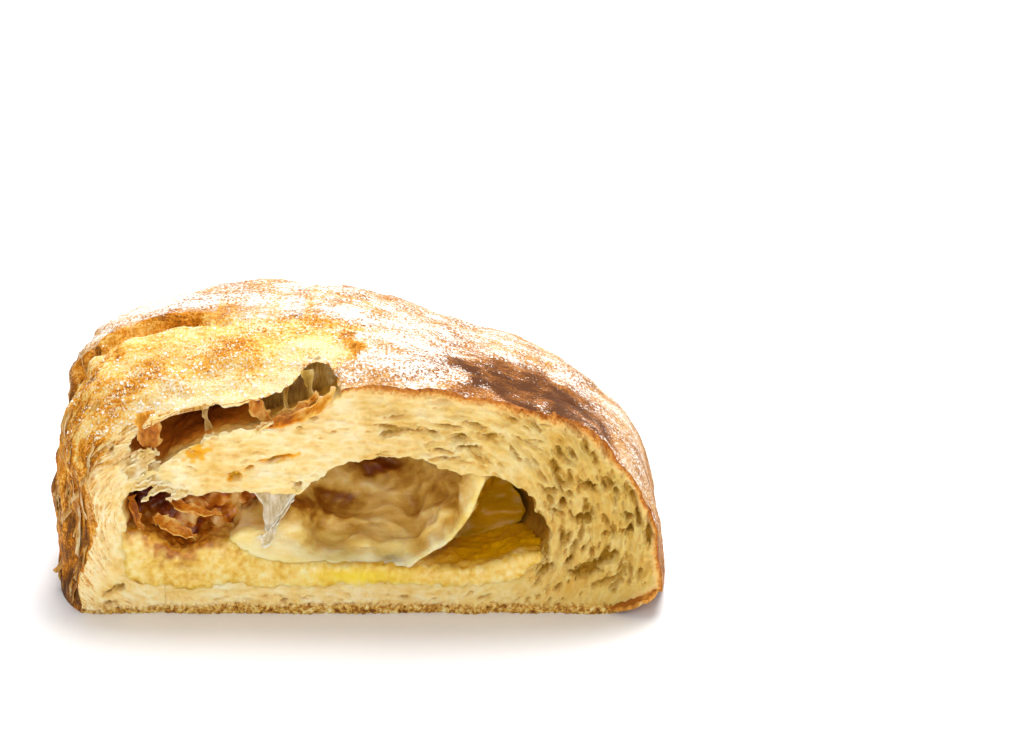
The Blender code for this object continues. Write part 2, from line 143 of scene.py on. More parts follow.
def dome_points(directions):
    """The dome's surface in these directions from the middle of its base, spread evenly down its sides."""
    flat = np.hypot(directions[:, 0], directions[:, 1])
    up = np.maximum(directions[:, 2], 0)
    across, along = directions[:, 0] / flat, directions[:, 1] / flat
    reach = HALF_WIDTH * flat
    for _ in range(6):
        power = curve(SHOULDER_POWER, reach * across / MM)
        grown = np.minimum(1 / flat, 1 / np.maximum(up, 1e-9))
        for _ in range(12):
            sideways, upward = (grown * flat)**power, (grown * up)**RISE_POWER
            grown *= 1 - (sideways + upward - 1) / (power * sideways + RISE_POWER * upward)
        share = np.where(directions[:, 2] > 0, grown * flat, flat)
        reach *= share / plan_share(reach * across, WIDEST + reach * along)
    x, depth = reach * across, WIDEST + reach * along
    squeeze = curve(KNIFE_SQUEEZE, x / MM) * np.exp(-(np.maximum(depth, 0) / SQUEEZE_DEPTH)**1.5)
    z = curve(CREST_HEIGHT, x / MM) * MM * grown * up * (1 - squeeze)
    return np.stack([x, depth + CUT, z], axis=1)


def behind_ear(x, depth):
    """Millimetres behind the lip of the lifted crust. Below 0 lies the dough that burst open."""
    return depth - curve(EAR_LINE, x)


def lifted_crust(x, depth, sharpness=1.5):
    """1 on the floury crust and 0 on the pale dough that burst open at the front left."""
    ear = step(-sharpness, sharpness, behind_ear(x, depth))
    return np.maximum(ear, step(-sharpness, sharpness, x - curve(CRUST_EDGE, depth)))


def risen_dough():
    """The whole dome: its broad form, then the flank's furrows, the lifted crust's step and groove, and the
    narrow waist and curled corner near the cut."""
    bm = bmesh.new()
    bmesh.ops.create_cube(bm, size=2)
    for axis, cuts in enumerate(CUBE_CUTS):
        along = [edge for edge in bm.edges
                 if abs(edge.verts[0].co[axis] - edge.verts[1].co[axis]) > 1]
        bmesh.ops.subdivide_edges(bm, edges=along, cuts=cuts, use_grid_fill=True)
    dough = piece_from(bm, "pastry_half")
    corners = np.tan(coordinates(dough.data) * math.pi / 4)
    directions = corners / np.linalg.norm(corners, axis=1, keepdims=True)
    points = dome_points(directions)
    place(dough.data, points)
    outward = normals(dough.data)
    x, depth, z = measures(points)
    height = sum(rise * wander(points, width) for rise, width in FINE_RELIEF)
    flank = step(0.45, 0.9, -outward[:, 0])
    height += 2.4 * wander(points, FURROWS) * flank
    height += 1.2 * (0.4 - abs(2 * wander(points, RIDGES))) * flank
    ragged = wander(points, 3.2) * 3 + wander(points, 1.3) * 1.4
    top = step(0.05, 0.35, outward[:, 2])
    height += 0.9 * (lifted_crust(x + ragged, depth + ragged * 0.5, 0.7) - 1) * top
    behind_lip = behind_ear(x, depth + ragged * 0.3)
    height -= 1.6 * np.exp(-(behind_lip + 1.1)**2) * step(-24, -36, x) * top
    height += 0.7 * np.exp(-((behind_lip - 0.9) / 1.1)**2) * step(-20, -34, x) * top
    height += 0.5 * wander(points, (5, 1.8, 2.4)) * (1 - lifted_crust(x, depth)) * top
    points += outward * (height * MM * step(0, 6, z))[:, None]
    near_cut = step(16, 4, (points[:, 1] - CUT) / MM)
    z = points[:, 2] / MM
    waist = sum(inwards * np.exp(-((z - at) / 9)**2) for inwards, at in WAIST)
    points[:, 0] += waist * near_cut * step(-46, -54, points[:, 0] / MM) * MM
    curl = 5 * step(53, 63, points[:, 0] / MM) * near_cut * step(14, 0, z)
    points[:, 2] = np.maximum(points[:, 2], 0) + curl * MM
    place(dough.data, points)
    bm = bmesh.new()
    bm.from_mesh(dough.data)
    bmesh.ops.dissolve_faces(bm, faces=[face for face in bm.faces if all(v.co.z == 0 for v in face.verts)])
    bm.to_mesh(dough.data)
    bm.free()
    return dough


pastry = risen_dough()
crust_surface = surface_of(pastry)

# The cut face: soft laminated crumb, torn a little by the knife. Its layers fold round the filling.
# It is the front of a block, a fine grid sunk by every pore. The block keeps what lies behind it.
FOLD_LEFT, FOLD_RIGHT, FOLD_HEIGHT = -40, 18, 20
CELL = 0.3 * MM
BIG_PORES = [  # (x, z, half length, half height, tilt in degrees), in millimetres
    (47.5, 10, 3.9, 1.9, 22), (52, 12.6, 2.7, 1.1, 20), (38.6, 9.6, 2.7, 1, 38), (34.4, 9, 2.2, 0.6, 28),
    (52, 7.4, 4.2, 0.8, 20), (43.3, 16.6, 2.1, 0.9, 65), (43.8, 12, 1.7, 0.8, 68),
    (41.3, 23.1, 2.1, 0.7, -32), (47.5, 28.8, 2.7, 1, -25), (40, 27.4, 2.2, 0.8, 3), (42.4, 24.9, 1.3, 1, 70),
    (56, 18.9, 1.4, 1.1, 10), (52, 18, 2.1, 0.6, 2), (46.8, 21.5, 2.4, 1.2, -8), (49.8, 24, 0.8, 0.5, 80),
    (55.8, 22, 1.4, 0.9, -40), (26.2, 39.8, 2.8, 0.6, -18), (35.3, 38.8, 4, 0.45, -8),
    (18, 36.5, 3.3, 0.5, -4), (38.8, 42, 2.2, 0.4, -4), (41.4, 37, 0.9, 0.5, -30), (44, 27, 1, 0.6, -20),
    (-17, 34.3, 3, 0.6, 17), (-25, 31, 1.5, 0.7, 35), (-21.5, 32.6, 1, 0.4, 25), (-11.9, 28.7, 1.2, 0.8, 25),
    (-11.2, 41.4, 0.7, 0.4, 10), (-24.7, 30.7, 1.8, 0.8, 25), (-15.8, 34.8, 3.6, 0.5, 12),
    (-49.6, 5.6, 1.5, 0.9, 15),
    (-52, 4.6, 1.2, 0.7, 35), (-51.6, 2.3, 1.6, 0.8, 8), (57, 27, 1.1, 0.7, -50), (31, 9.6, 1.2, 0.4, 25),
    (-46, 33, 1.1, 0.5, 70), (-49.6, 37, 1.4, 0.6, 68)]
PORE_FIELDS = [  # (how many, left, right, low, high, usual half length, flatness)
    (100, 37, 61, 5, 38, 1.9, 0.3), (56, 4, 58, 34, 47, 2.3, 0.2), (22, -36, 0, 29, 47, 1.7, 0.2),
    (30, -30, 45, 2.9, 4.6, 0.9, 0.35), (16, -54, -48, 4, 42, 1.5, 0.14), (80, 36, 61, 3, 46, 0.7, 0.4),
    (50, -50, 36, 28, 47, 0.8, 0.25)]
DEEPEST_PORE = 3
BLOCK_WIDTH, BLOCK_HEIGHT, BLOCK_BACK, BLOCK_BELOW = 132 * MM, 60 * MM, 80 * MM, 1 * MM


def layers(x, z):
    """Places in the folded layers, in mm: how far along a layer, which layer, and the layer's slope."""
    fold = np.clip(x, FOLD_LEFT, FOLD_RIGHT)
    slope = np.arctan2(x - fold, FOLD_HEIGHT - z)
    turn = np.arctan2(x - fold, z - FOLD_HEIGHT)
    return fold + turn * 22, np.hypot(x - fold, z - FOLD_HEIGHT), slope


def knife_cut(x, z):
    """How far the cut face wanders back, in mm, before its pores."""
    return 0.7 * (0.5 + wander(np.stack([x, np.full_like(x, CUT / MM), z], axis=1) * MM, 6))


def spot_share(x, z, middle_x, middle_z, half_length, half_height, slope):
    """0 at the middle of a tilted oval spot and 1 on its outline."""
    dx, dz = x - middle_x, z - middle_z
    along = (dx * math.cos(slope) + dz * math.sin(slope)) / half_length
    over = (dz * math.cos(slope) - dx * math.sin(slope)) / half_height
    return np.hypot(along, over)


def sink_pores(x, z):
    """How deep the pores are sunk below the cut face, in mm."""
    rng = random.Random(5)
    flat = np.stack([x, np.zeros_like(x), z], axis=1) * MM
    ragged = wander(flat, 1.1) * 0.7 + wander(flat, 0.5) * 0.5
    pores = [(*pore[:4], math.radians(pore[4])) for pore in BIG_PORES]
    for count, left, right, low, high, usual, flatness in PORE_FIELDS:
        for _ in range(count):
            px, pz = rng.uniform(left, right), rng.uniform(low, high)
            length = usual * rng.uniform(0.5, 1.5)
            slope = float(layers(np.array([px]), np.array([pz]))[2][0]) + rng.gauss(0, 0.2)
            pores.append((px, pz, length, length * flatness * rng.uniform(0.7, 1.3), slope))
    sunk = np.zeros_like(x)
    for px, pz, length, height, slope in pores:
        near = np.flatnonzero((abs(x - px) < length * 1.5) & (abs(z - pz) < length * 1.5))
        inside = 1 - spot_share(x[near], z[near], px, pz, length, height, slope) + ragged[near] * 0.6
        deep = min(height * 2.3, DEEPEST_PORE)
        sunk[near] = np.maximum(sunk[near], deep * np.clip(inside * 1.7, 0, 1)**0.85)
    return sunk


def apply_modifier(piece, kind, **settings):
    """Gives a piece one modifier and keeps the shape that it makes."""
    modifier = piece.modifiers.new(kind.title(), kind)
    for name, value in settings.items():
        setattr(modifier, name, value)
    bpy.context.view_layer.update()
    mesh = bpy.data.meshes.new_from_object(piece.evaluated_get(bpy.context.evaluated_depsgraph_get()))
    piece.modifiers.clear()
    piece.data = mesh


def combine(target, other, operation):
    """Applies one Boolean to target. The other object is removed."""
    apply_modifier(target, "BOOLEAN", operation=operation, solver="MANIFOLD", object=other)
    bpy.data.objects.remove(other)


def knife_block():
    """A closed block whose front is the cut face, with its torn layers and pores."""
    bm = bmesh.new()
    bmesh.ops.create_grid(bm, x_segments=round(BLOCK_WIDTH / CELL), y_segments=round(BLOCK_HEIGHT / CELL),
                          size=0.5)
    bmesh.ops.scale(bm, vec=(BLOCK_WIDTH, BLOCK_HEIGHT, 1), verts=bm.verts)
    bmesh.ops.rotate(bm, matrix=Matrix.Rotation(math.radians(90), 3, "X"), verts=bm.verts)
    bmesh.ops.translate(bm, vec=(0, CUT, BLOCK_HEIGHT / 2 - BLOCK_BELOW), verts=bm.verts)
    front = len(bm.verts)
    sides = bmesh.ops.extrude_edge_only(bm, edges=[edge for edge in bm.edges if edge.is_boundary])["geom"]
    for vert in [item for item in sides if isinstance(item, bmesh.types.BMVert)]:
        vert.co.y = BLOCK_BACK
    bmesh.ops.holes_fill(bm, edges=[edge for edge in bm.edges if edge.is_boundary])
    block = piece_from(bm, "knife_block")
    points = coordinates(block.data)
    x, z = points[:front, 0] / MM, points[:front, 2] / MM
    along, level, _ = layers(x, z)
    laid = np.stack([along, level, np.zeros_like(x)], axis=1) * MM
    flat = np.stack([x, np.zeros_like(x), z], axis=1) * MM
    open_crumb = step(6.5, 9, z)
    back = knife_cut(x, z)
    looser = 0.45 + 0.55 * step(-5, 25, x)
    back += wander(laid, (3.4, 0.75, 1)) * (0.14 + 0.5 * open_crumb * looser)
    torn_out = wander(flat, 2.1) + wander(laid, (6, 1.9, 1))
    back += wander(flat, 0.75) * 0.26 + torn_out * 0.8 * open_crumb * looser
    back += wander(flat, 0.8) * 0.7 * step(2.9, 2.2, z)
    points[:front, 1] += (back + sink_pores(x, z)) * MM
    place(block.data, points)
    return block


combine(pastry, knife_block(), "INTERSECT")

# The pocket for the filling and the hollow that steam blew under the crust. Each is a bag in the dough
# that narrows towards its back, with a thin uneven wall. The knife opened both of them.
POCKET = [(-47.6, 8.4), (-48, 13), (-47.4, 20), (-46.9, 26.4), (-44.6, 29), (-41.6, 28.9), (-36.9, 26.9),
          (-30, 27.2), (-24, 27.6), (-18, 27.4), (-12.6, 27.2), (-10, 28.4), (-6, 31.6), (-1.9, 33.9),
          (5, 34.8), (13, 34.9), (18.5, 32.7), (23.6, 31), (28.6, 30.6), (33.2, 28.8), (36.6, 25.6),
          (37.2, 22.4), (39.7, 19.6), (39.6, 16), (37, 11), (33, 8.6), (24, 7.2), (0, 6.9), (-30, 6.9),
          (-44, 7)]
HOLLOW = [(-45.4, 33.8), (-40.6, 32.6), (-36.5, 36.2), (-33, 38.3), (-24.5, 41), (-15.6, 42.2), (-10, 43.6),
          (-5.4, 46.2), (-2.6, 49), (-3.6, 51.2), (-7.6, 52.7), (-11.2, 51.6), (-15, 48.8), (-20, 47.2),
          (-29.2, 46), (-36.6, 44.3), (-42, 41.4), (-46, 37.4)]
POCKET_TAPER = [(-1, 1, 0), (0, 1, 0), (0.2, 0.99, 0), (0.4, 0.95, 0), (0.6, 0.87, 0), (0.8, 0.72, 0),
                (0.94, 0.5, 0), (1, 0.28, 0)]
HOLLOW_TAPER = [(-1, 1, 0), (0, 1, 0), (0.3, 0.98, 0.3), (0.5, 0.92, 1.6), (0.75, 0.74, 2.6), (1, 0.34, 3)]
POCKET_DEPTH, HOLLOW_DEPTH = 36, 22
POCKET_FLOOR = 6.9


def outline_ring(points, count):
    """Evenly spaced places, in metres, on the closed smooth curve through points in millimetres."""
    lap = np.array([*points[-3:], *points, *points[:4]], float)
    travelled = np.concatenate([[0], np.cumsum(np.hypot(*np.diff(lap, axis=0).T))])
    start, end = travelled[3], travelled[3 + len(points)]
    stops = start + (end - start) * np.arange(count) / count
    x, z = (curve(np.stack([travelled, lap[:, i]], axis=1), stops) for i in (0, 1))
    return np.stack([x, np.zeros(count), z], axis=1) * MM


def bag(name, points, depth, taper, count, rings, floor=None):
    """A closed bag whose outline at the cut face is extruded back in rings, narrower towards its back.
    The taper is a list of (share of the depth, share of the outline kept, rise in millimetres). Two rings
    stand in front of the cut. A bag narrows towards its floor's height, or else towards its middle."""
    ring = outline_ring(points, count)
    pivot = ring.mean(axis=0)
    if floor is not None:
        pivot[2] = floor * MM
    bm = bmesh.new()
    bmesh.ops.create_circle(bm, cap_ends=True, segments=count, radius=1)
    face = bm.faces[:][0]
    for number in range(rings + 1):
        share = (number - 2) / (rings - 2)
        if number:
            face = bmesh.ops.extrude_discrete_faces(bm, faces=[face])["faces"][0]
        kept = float(curve([stop[:2] for stop in taper], share))
        rise = float(curve([(stop[0], stop[2]) for stop in taper], share)) * MM
        shape = pivot + (ring - pivot) * kept + [0, CUT + share * depth * MM, rise]
        for vert, at in zip(face.verts, shape.tolist()):
            vert.co = at
    bmesh.ops.holes_fill(bm, edges=[edge for edge in bm.edges if edge.is_boundary])
    made = piece_from(bm, name)
    places = coordinates(made.data)
    ripple = np.array([noise.noise_vector(at) for at in (places / (7 * MM)).tolist()]) * 0.8
    places += ripple * [1, 0, 1] * MM
    torn = normals(made.data) * [1, 0, 1]
    lip = step(4, 0.5, (places[:, 1] - CUT) / MM)
    uneven = 0.35 * wander(places, 1.2) + 0.45 * wander(places, 2.7) + 0.4 * lip * wander(places, (1.3, 3, 1))
    places += torn * uneven[:, None] * MM
    place(made.data, places)
    return made


hollow = bag("hollow", HOLLOW, HOLLOW_DEPTH, HOLLOW_TAPER, 220, 44)
pocket = bag("pocket", POCKET, POCKET_DEPTH, POCKET_TAPER, 330, 50, floor=POCKET_FLOOR)
hollow_surface, pocket_surface = surface_of(hollow), surface_of(pocket)
combine(pastry, hollow, "DIFFERENCE")
combine(pastry, pocket, "DIFFERENCE")


def drop_slivers(piece):
    """Keeps the largest connected body. Cuts can leave loose slivers beside it."""
    bm = bmesh.new()
    bm.from_mesh(piece.data)
    left, bodies = set(bm.verts), []
    while left:
        body, reached = set(), {left.pop()}
        while reached:
            vert = reached.pop()
            body.add(vert)
            reached |= {edge.other_vert(vert) for edge in vert.link_edges} - body
        left -= body
        bodies.append(body)
    bodies.sort(key=len)
    bmesh.ops.delete(bm, geom=[vert for body in bodies[:-1] for vert in body], context="VERTS")
    bm.to_mesh(piece.data)
    bm.free()


drop_slivers(pastry)

# What the oven and the baker did to the surface, kept as numbers on every point: how browned the crust
# is, where icing sugar lies, how near a crumb is to the crust, and how deep it sits in a pore or hollow.
# Some of them also carry painted shade: in the groove under the ear's lip and deep in the hollows' walls.
BURST_STREAK = [(-27, 10.5), (-19.8, 14.3), (-11.7, 16.1), (-5.7, 20), (-2.4, 16.1), (0, 12)]
LEFT_STREAK = [(-57, -2), (-54, 1), (-52, 2.9), (-50, 4.5), (-46, 7), (-41, 9.5)]
ORANGE_PATCHES = [(-36, 7, 4), (-29, 8, 4), (-22, 6, 3), (-9, 9, 3)]  # (x, depth, radius)
DARK_PATCHES = [(30, 14, 8), (37, 16, 9), (24, 13, 7), (43, 12, 8), (35, 5, 7), (42, 4, 7), (28, 8, 6),
                (18, 17, 5)]
SUGAR_PATCHES = [(-25.5, 32.6, 9), (-8.5, 31.4, 9), (-1.9, 25.7, 5), (6.7, 20.3, 8), (13.1, 14.8, 8),
                 (20.5, 7, 6), (12, 6, 6), (-32.3, 15.5, 4), (-40, 33, 8), (24, 11, 3), (27, 18, 4),
                 (30.6, 26.5, 5), (14, 27, 8), (-20, 22.5, 5), (3, 12, 5), (28, 5, 4)]
STAINS = [(-32.2, 36, 2.6, 1.4, 32), (-15.8, 34.9, 3.7, 0.6, 12), (-24.7, 30.7, 1.9, 0.9, 25),
          (-22, 32.5, 1.1, 0.5, 20)]  # butter on the crumb, as (x, z, half length, half height, tilt)
TOUCH = 0.004  # a point nearer than this to a surface lies on it


def to_segment(u, v, start, end):
    """Distance from each place (u, v) to a straight segment."""
    (u0, v0), (u1, v1) = start, end
    t = np.clip(((u - u0) * (u1 - u0) + (v - v0) * (v1 - v0)) / ((u1 - u0)**2 + (v1 - v0)**2), 0, 1)
    return np.hypot(u - u0 - t * (u1 - u0), v - v0 - t * (v1 - v0))


def near_line(x, depth, line, width):
    """1 on a line of (x, depth) points, fading to 0 at about its width to either side."""
    nearest = np.minimum.reduce([to_segment(x, depth, *ends) for ends in zip(line, line[1:])])
    return np.exp(-(nearest / width)**2)


def near_patches(x, depth, patches):
    """1 in the middle of a round patch, given as (x, depth, radius), fading to 0 past its radius."""
    return np.maximum.reduce([np.exp(-((x - px)**2 + (depth - pd)**2) / radius**2)
                              for px, pd, radius in patches])


def store(mesh, **measured):
    """Keeps numbers or directions on the points of a mesh, each under its name."""
    for name, values in measured.items():
        kind, field = ("FLOAT", "value") if values.ndim == 1 else ("FLOAT_VECTOR", "vector")
        kept = mesh.attributes.new(name, kind, "POINT")
        kept.data.foreach_set(field, values.astype(np.float32).ravel())


def distances(surface, points):
    """How far each point is from a surface, in millimetres."""
    return np.array([surface.find_nearest(at)[3] for at in points.tolist()]) / MM


def record_baking(mesh):
    """Keeps on each point how browned it is, whether it tore open in the oven and how much sugar it holds.
    In the groove under the ear's lip, part of the browning and of the missing sugar is painted shadow.
    """
    points = coordinates(mesh)
    outward = normals(mesh)
    x, depth, z = measures(points)
    up = step(0.1, 0.6, outward[:, 2])
    facing_left = step(0.35, 0.75, -outward[:, 0]) * step(30, 20, depth)
    burst = 1 - lifted_crust(x + wander(points, 2) * 3, depth + wander(points, 2) * 1.5, 0.6)
    torn = np.maximum(burst * step(-0.1, 0.15, outward[:, 2]), facing_left * step(46, 38, z))
    dark = near_patches(x + 9 * wander(points, 8), depth + 8 * wander(points, 5), DARK_PATCHES)
    dark *= 0.9 + 0.9 * wander(points, 4)
    # The groove under the ear's lip: partly orange torn dough, partly painted shadow of the overhanging lip.
    groove = np.exp(-((behind_ear(x, depth + wander(points, 2) * 1.5) - 0.2) / 1.2)**2) * step(-22, -34, x)
    past_edge = x - curve(CRUST_EDGE, depth) + 0.6 + 3 * wander(points, 2)
    crack = np.exp(-(past_edge / 0.9)**2) * step(22, 17, depth)
    crack *= step(3, 6, depth) * up
    torn = np.maximum.reduce([torn, groove, crack])
    browned = 0.46 + 0.22 * wander(points, 14) + 0.1 * wander(points, 5)
    browned += 0.62 * dark * step(14, 23, x)
    browned = browned * (1 - torn) + torn * (0.27 + 0.13 * wander(points, (7, 3, 3)))
    browned += 0.2 * torn * near_line(x, depth, BURST_STREAK, 3) * step(38, 44, z)
    browned += 0.26 * near_line(x, depth, LEFT_STREAK, 2.2) * step(30, 36, z)
    browned += 0.15 * torn * near_patches(x, depth, ORANGE_PATCHES) * step(38, 44, z)
    browned += 0.2 * groove + 0.26 * crack
    browned += 0.16 * facing_left * step(48, 30, z) + (0.16 + 0.12 * facing_left) * step(26, 4, z)
    browned += facing_left * (1.1 * abs(wander(points, RIDGES)) - 0.06)
    near_lip = step(7, 0.5, distances(hollow_surface, points)) * torn
    sugar = 0.2 + 0.27 * up + 0.12 * near_patches(x, depth, SUGAR_PATCHES) * up
    sugar -= 0.47 * dark * step(14, 23, x)
    sugar = sugar * (1 - torn) + torn * (0.12 + 0.26 * up + 0.16 * near_lip)
    sugar -= 0.3 * step(0.35, 0.75, -outward[:, 0]) * step(44, 26, z)
    behind_lip = step(8, 2, behind_ear(x, depth)) * step(-24, -36, x)
    sugar -= 0.3 * groove + 0.2 * crack + 0.14 * step(26, 10, z) + 0.05 * behind_lip
    store(mesh, browned=browned - 0.14 * near_lip, torn=torn, sugar=np.clip(sugar, 0, 1))


def rind_width(x, z):
    """How thick the browned rim of the cut face is: thickest at the top right, faint at the burst."""
    top_right = step(-6, 6, x) * step(30, 40, z)
    side = step(40, 52, x)
    return 0.14 + 1.15 * top_right + 0.6 * side * (1 - top_right) - 0.09 * step(-40, -48, x)


def sort_faces(mesh):
    """Puts each face in the crust (0), the crumb of the cut face (1) or a wall of a hollow (2)."""
    points = coordinates(mesh)
    x, depth, z = measures(points)
    to_crust = distances(crust_surface, points)
    to_wall = np.minimum(distances(hollow_surface, points), distances(pocket_surface, points))
    ragged = wander(points, 1.2)
    stained = np.maximum.reduce([step(1.3, 0.6, spot_share(x, z, *spot, math.radians(tilt)) + ragged)
                                 for *spot, tilt in STAINS])
    dried = step(4.6, 0.3, to_crust + 3 * wander(points, (1.4, 3, 5))) * step(-42, -49, x)
    store(mesh, skin=to_crust / rind_width(x, z), stained=stained, dried=dried)
    on_crust, on_wall = to_crust < TOUCH, to_wall < TOUCH
    kinds = np.ones(len(mesh.polygons), np.int32)
    for number, face in enumerate(mesh.polygons):
        corners = list(face.vertices)
        if on_wall[corners].all():
            kinds[number] = 2
        elif on_crust[corners].all():
            kinds[number] = 0
    along, level, _ = layers(x, z)
    laid = np.stack([along, level, points[:, 1] / MM], axis=1) * MM
    # Browner deeper behind the cut: partly the buttered dough's browning, partly painted shade in the
    # hollows.
    glazed = step(0.2, 9, depth) * 0.75 + 0.12
    upper = step(30, 33, z) * step(2, -2, x)
    glazed += upper * (0.34 * np.exp(-((x + 31) / 7)**2) - 0.26) * step(0.5, 4, depth)
    glazed += 0.35 * step(-36, -44, x) * step(18, 24, z) * step(32, 30, z) * step(0.5, 4, depth)
    glazed *= 1 - 0.8 * step(17, 12, z) * (1 - 0.5 * step(18, 24, x))
    olive = np.maximum(step(16, 24, x), upper * step(-22, -16, x))
    store(mesh, layers=laid, sunk=depth - knife_cut(x, z), glazed=np.clip(glazed, 0, 1), olive=olive)
    return kinds


record_baking(pastry.data)
kinds = sort_faces(pastry.data)
SHARP_EDGE = 55  # degrees


def linear(colour):
    """sRGB hex to linear red, green, blue and an alpha of 1."""
    parts = [int(colour[i:i + 2], 16) / 255 for i in (1, 3, 5)]
    return (*[c / 12.92 if c <= 0.04045 else ((c + 0.055) / 1.055)**2.4 for c in parts], 1)


def feed(node, *in_order, **by_name):
    """Sets or links a node's inputs. A string is a colour, and a node stands for its first output."""
    shown = [socket for socket in node.inputs if socket.enabled]
    named = {socket.name.replace(" ", "_"): socket for socket in shown}
    for socket, value in [*zip(shown, in_order), *((named[name], value) for name, value in by_name.items())]:
        if isinstance(value, bpy.types.Node):
            value = next(output for output in value.outputs if output.enabled)
        if isinstance(value, bpy.types.NodeSocket):
            node.id_data.links.new(value, socket)
        else:
            socket.default_value = linear(value) if isinstance(value, str) else value


def add_node(tree, kind, *in_order, stops=(), **named):
    """Adds one node. Names in lower case are its settings and the others its inputs. Stops are a ramp's."""
    node = tree.nodes.new("ShaderNode" + kind)
    for name in filter(str.islower, named):
        setattr(node, name, named[name])
    feed(node, *in_order, **{name: value for name, value in named.items() if not name.islower()})
    if stops:
        ramp = node.color_ramp
        while len(ramp.elements) < len(stops):
            ramp.elements.new(0.5)
        for element, (at, colour) in zip(ramp.elements, stops):
            element.position, element.color = at, linear(colour)
    return node


def material(name, scatter=None, **constants):
    """A material with one Principled shader, what adds a node to it, and the shader. The constants are set
    on its own sockets. Scatter is how far red, green and blue light spread inside it, in millimetres."""
    made = bpy.data.materials.new(name)
    made.use_nodes = True
    shader = made.node_tree.nodes["Principled BSDF"]
    feed(shader, **constants)
    if scatter:
        feed(shader, Subsurface_Radius=[reach * MM for reach in scatter], Subsurface_Scale=1.0)
    return made, partial(add_node, made.node_tree), shader


def added(add, base, *patterns):
    """A value plus patterns of 0 to 1, each given as (pattern, weight) and counted from its middle."""
    middle = -0.5 * sum(weight for _, weight in patterns)
    total = add("Math", base, middle, operation="ADD")
    for pattern, weight in patterns:
        total = add("Math", pattern, weight, total, operation="MULTIPLY_ADD")
    return total


def baked_crust():
    """Baked wheat crust: dry and matt, tan under its flour, orange and fibrous where it tore in the oven."""
    made, add, shader = material("floured_wheat_crust", (2, 1, 0.5), Specular_IOR_Level=0.08,
                                 Subsurface_Weight=0.1)
    at = add("TexCoord").outputs["Object"]
    laid = add("Attribute", attribute_name="layers").outputs["Vector"]
    browned, sugar, torn = (add("Attribute", attribute_name=name).outputs["Fac"]
                            for name in ("browned", "sugar", "torn"))
    drawn = add("Mapping", laid, Scale=(0.34, 1, 1))
    spread = add("Mapping", laid, Scale=(0.45, 1, 1))
    fibres = add("TexNoise", drawn, Scale=1 / (0.7 * MM), Detail=5.0, Roughness=0.8)
    blotches = add("TexNoise", spread, Scale=1 / (3.4 * MM), Detail=5.0, Roughness=0.6)
    grain = add("TexNoise", at, Scale=1 / (0.5 * MM), Detail=2.0)
    baked = added(add, browned, (blotches, 0.7), (fibres, 1.25), (grain, 0.8))
    tan = add("ValToRGB", baked, stops=[
        (0.0, "#F3DAB0"), (0.26, "#E0B47A"), (0.44, "#C98D4A"), (0.6, "#A4642A"), (0.78, "#88501C"),
        (1.0, "#5A300C")])
    orange = add("ValToRGB", baked, stops=[
        (0.0, "#FBE5B2"), (0.2, "#F9D47E"), (0.36, "#F2B044"), (0.52, "#DC8614"), (0.7, "#A66414"),
        (1.0, "#643A0C")])
    bare = add("Mix", torn, tan, orange, data_type="RGBA")
    dust = add("TexNoise", at, Scale=1 / (0.55 * MM), Detail=3.0, Roughness=0.7)
    drift = add("TexNoise", spread, Scale=1 / (4.5 * MM), Detail=5.0, Roughness=0.65)
    floured = added(add, sugar, (dust, 2.3), (drift, 1.4), (fibres, 0.8))
    cover = add("MapRange", floured, 0.47, 0.6, interpolation_type="SMOOTHSTEP")
    flour = add("Mix", torn, "#F6EFE4", "#F8E2B2", data_type="RGBA")
    wrinkled = added(add, cover, (fibres, 2.0), (grain, 1.0))
    feed(shader, Base_Color=add("Mix", cover, bare, flour, data_type="RGBA"),
         Roughness=add("MapRange", cover, To_Min=0.5, To_Max=0.95),
         Normal=add("Bump", Height=wrinkled, Strength=0.6, Distance=0.35 * MM))
    return made


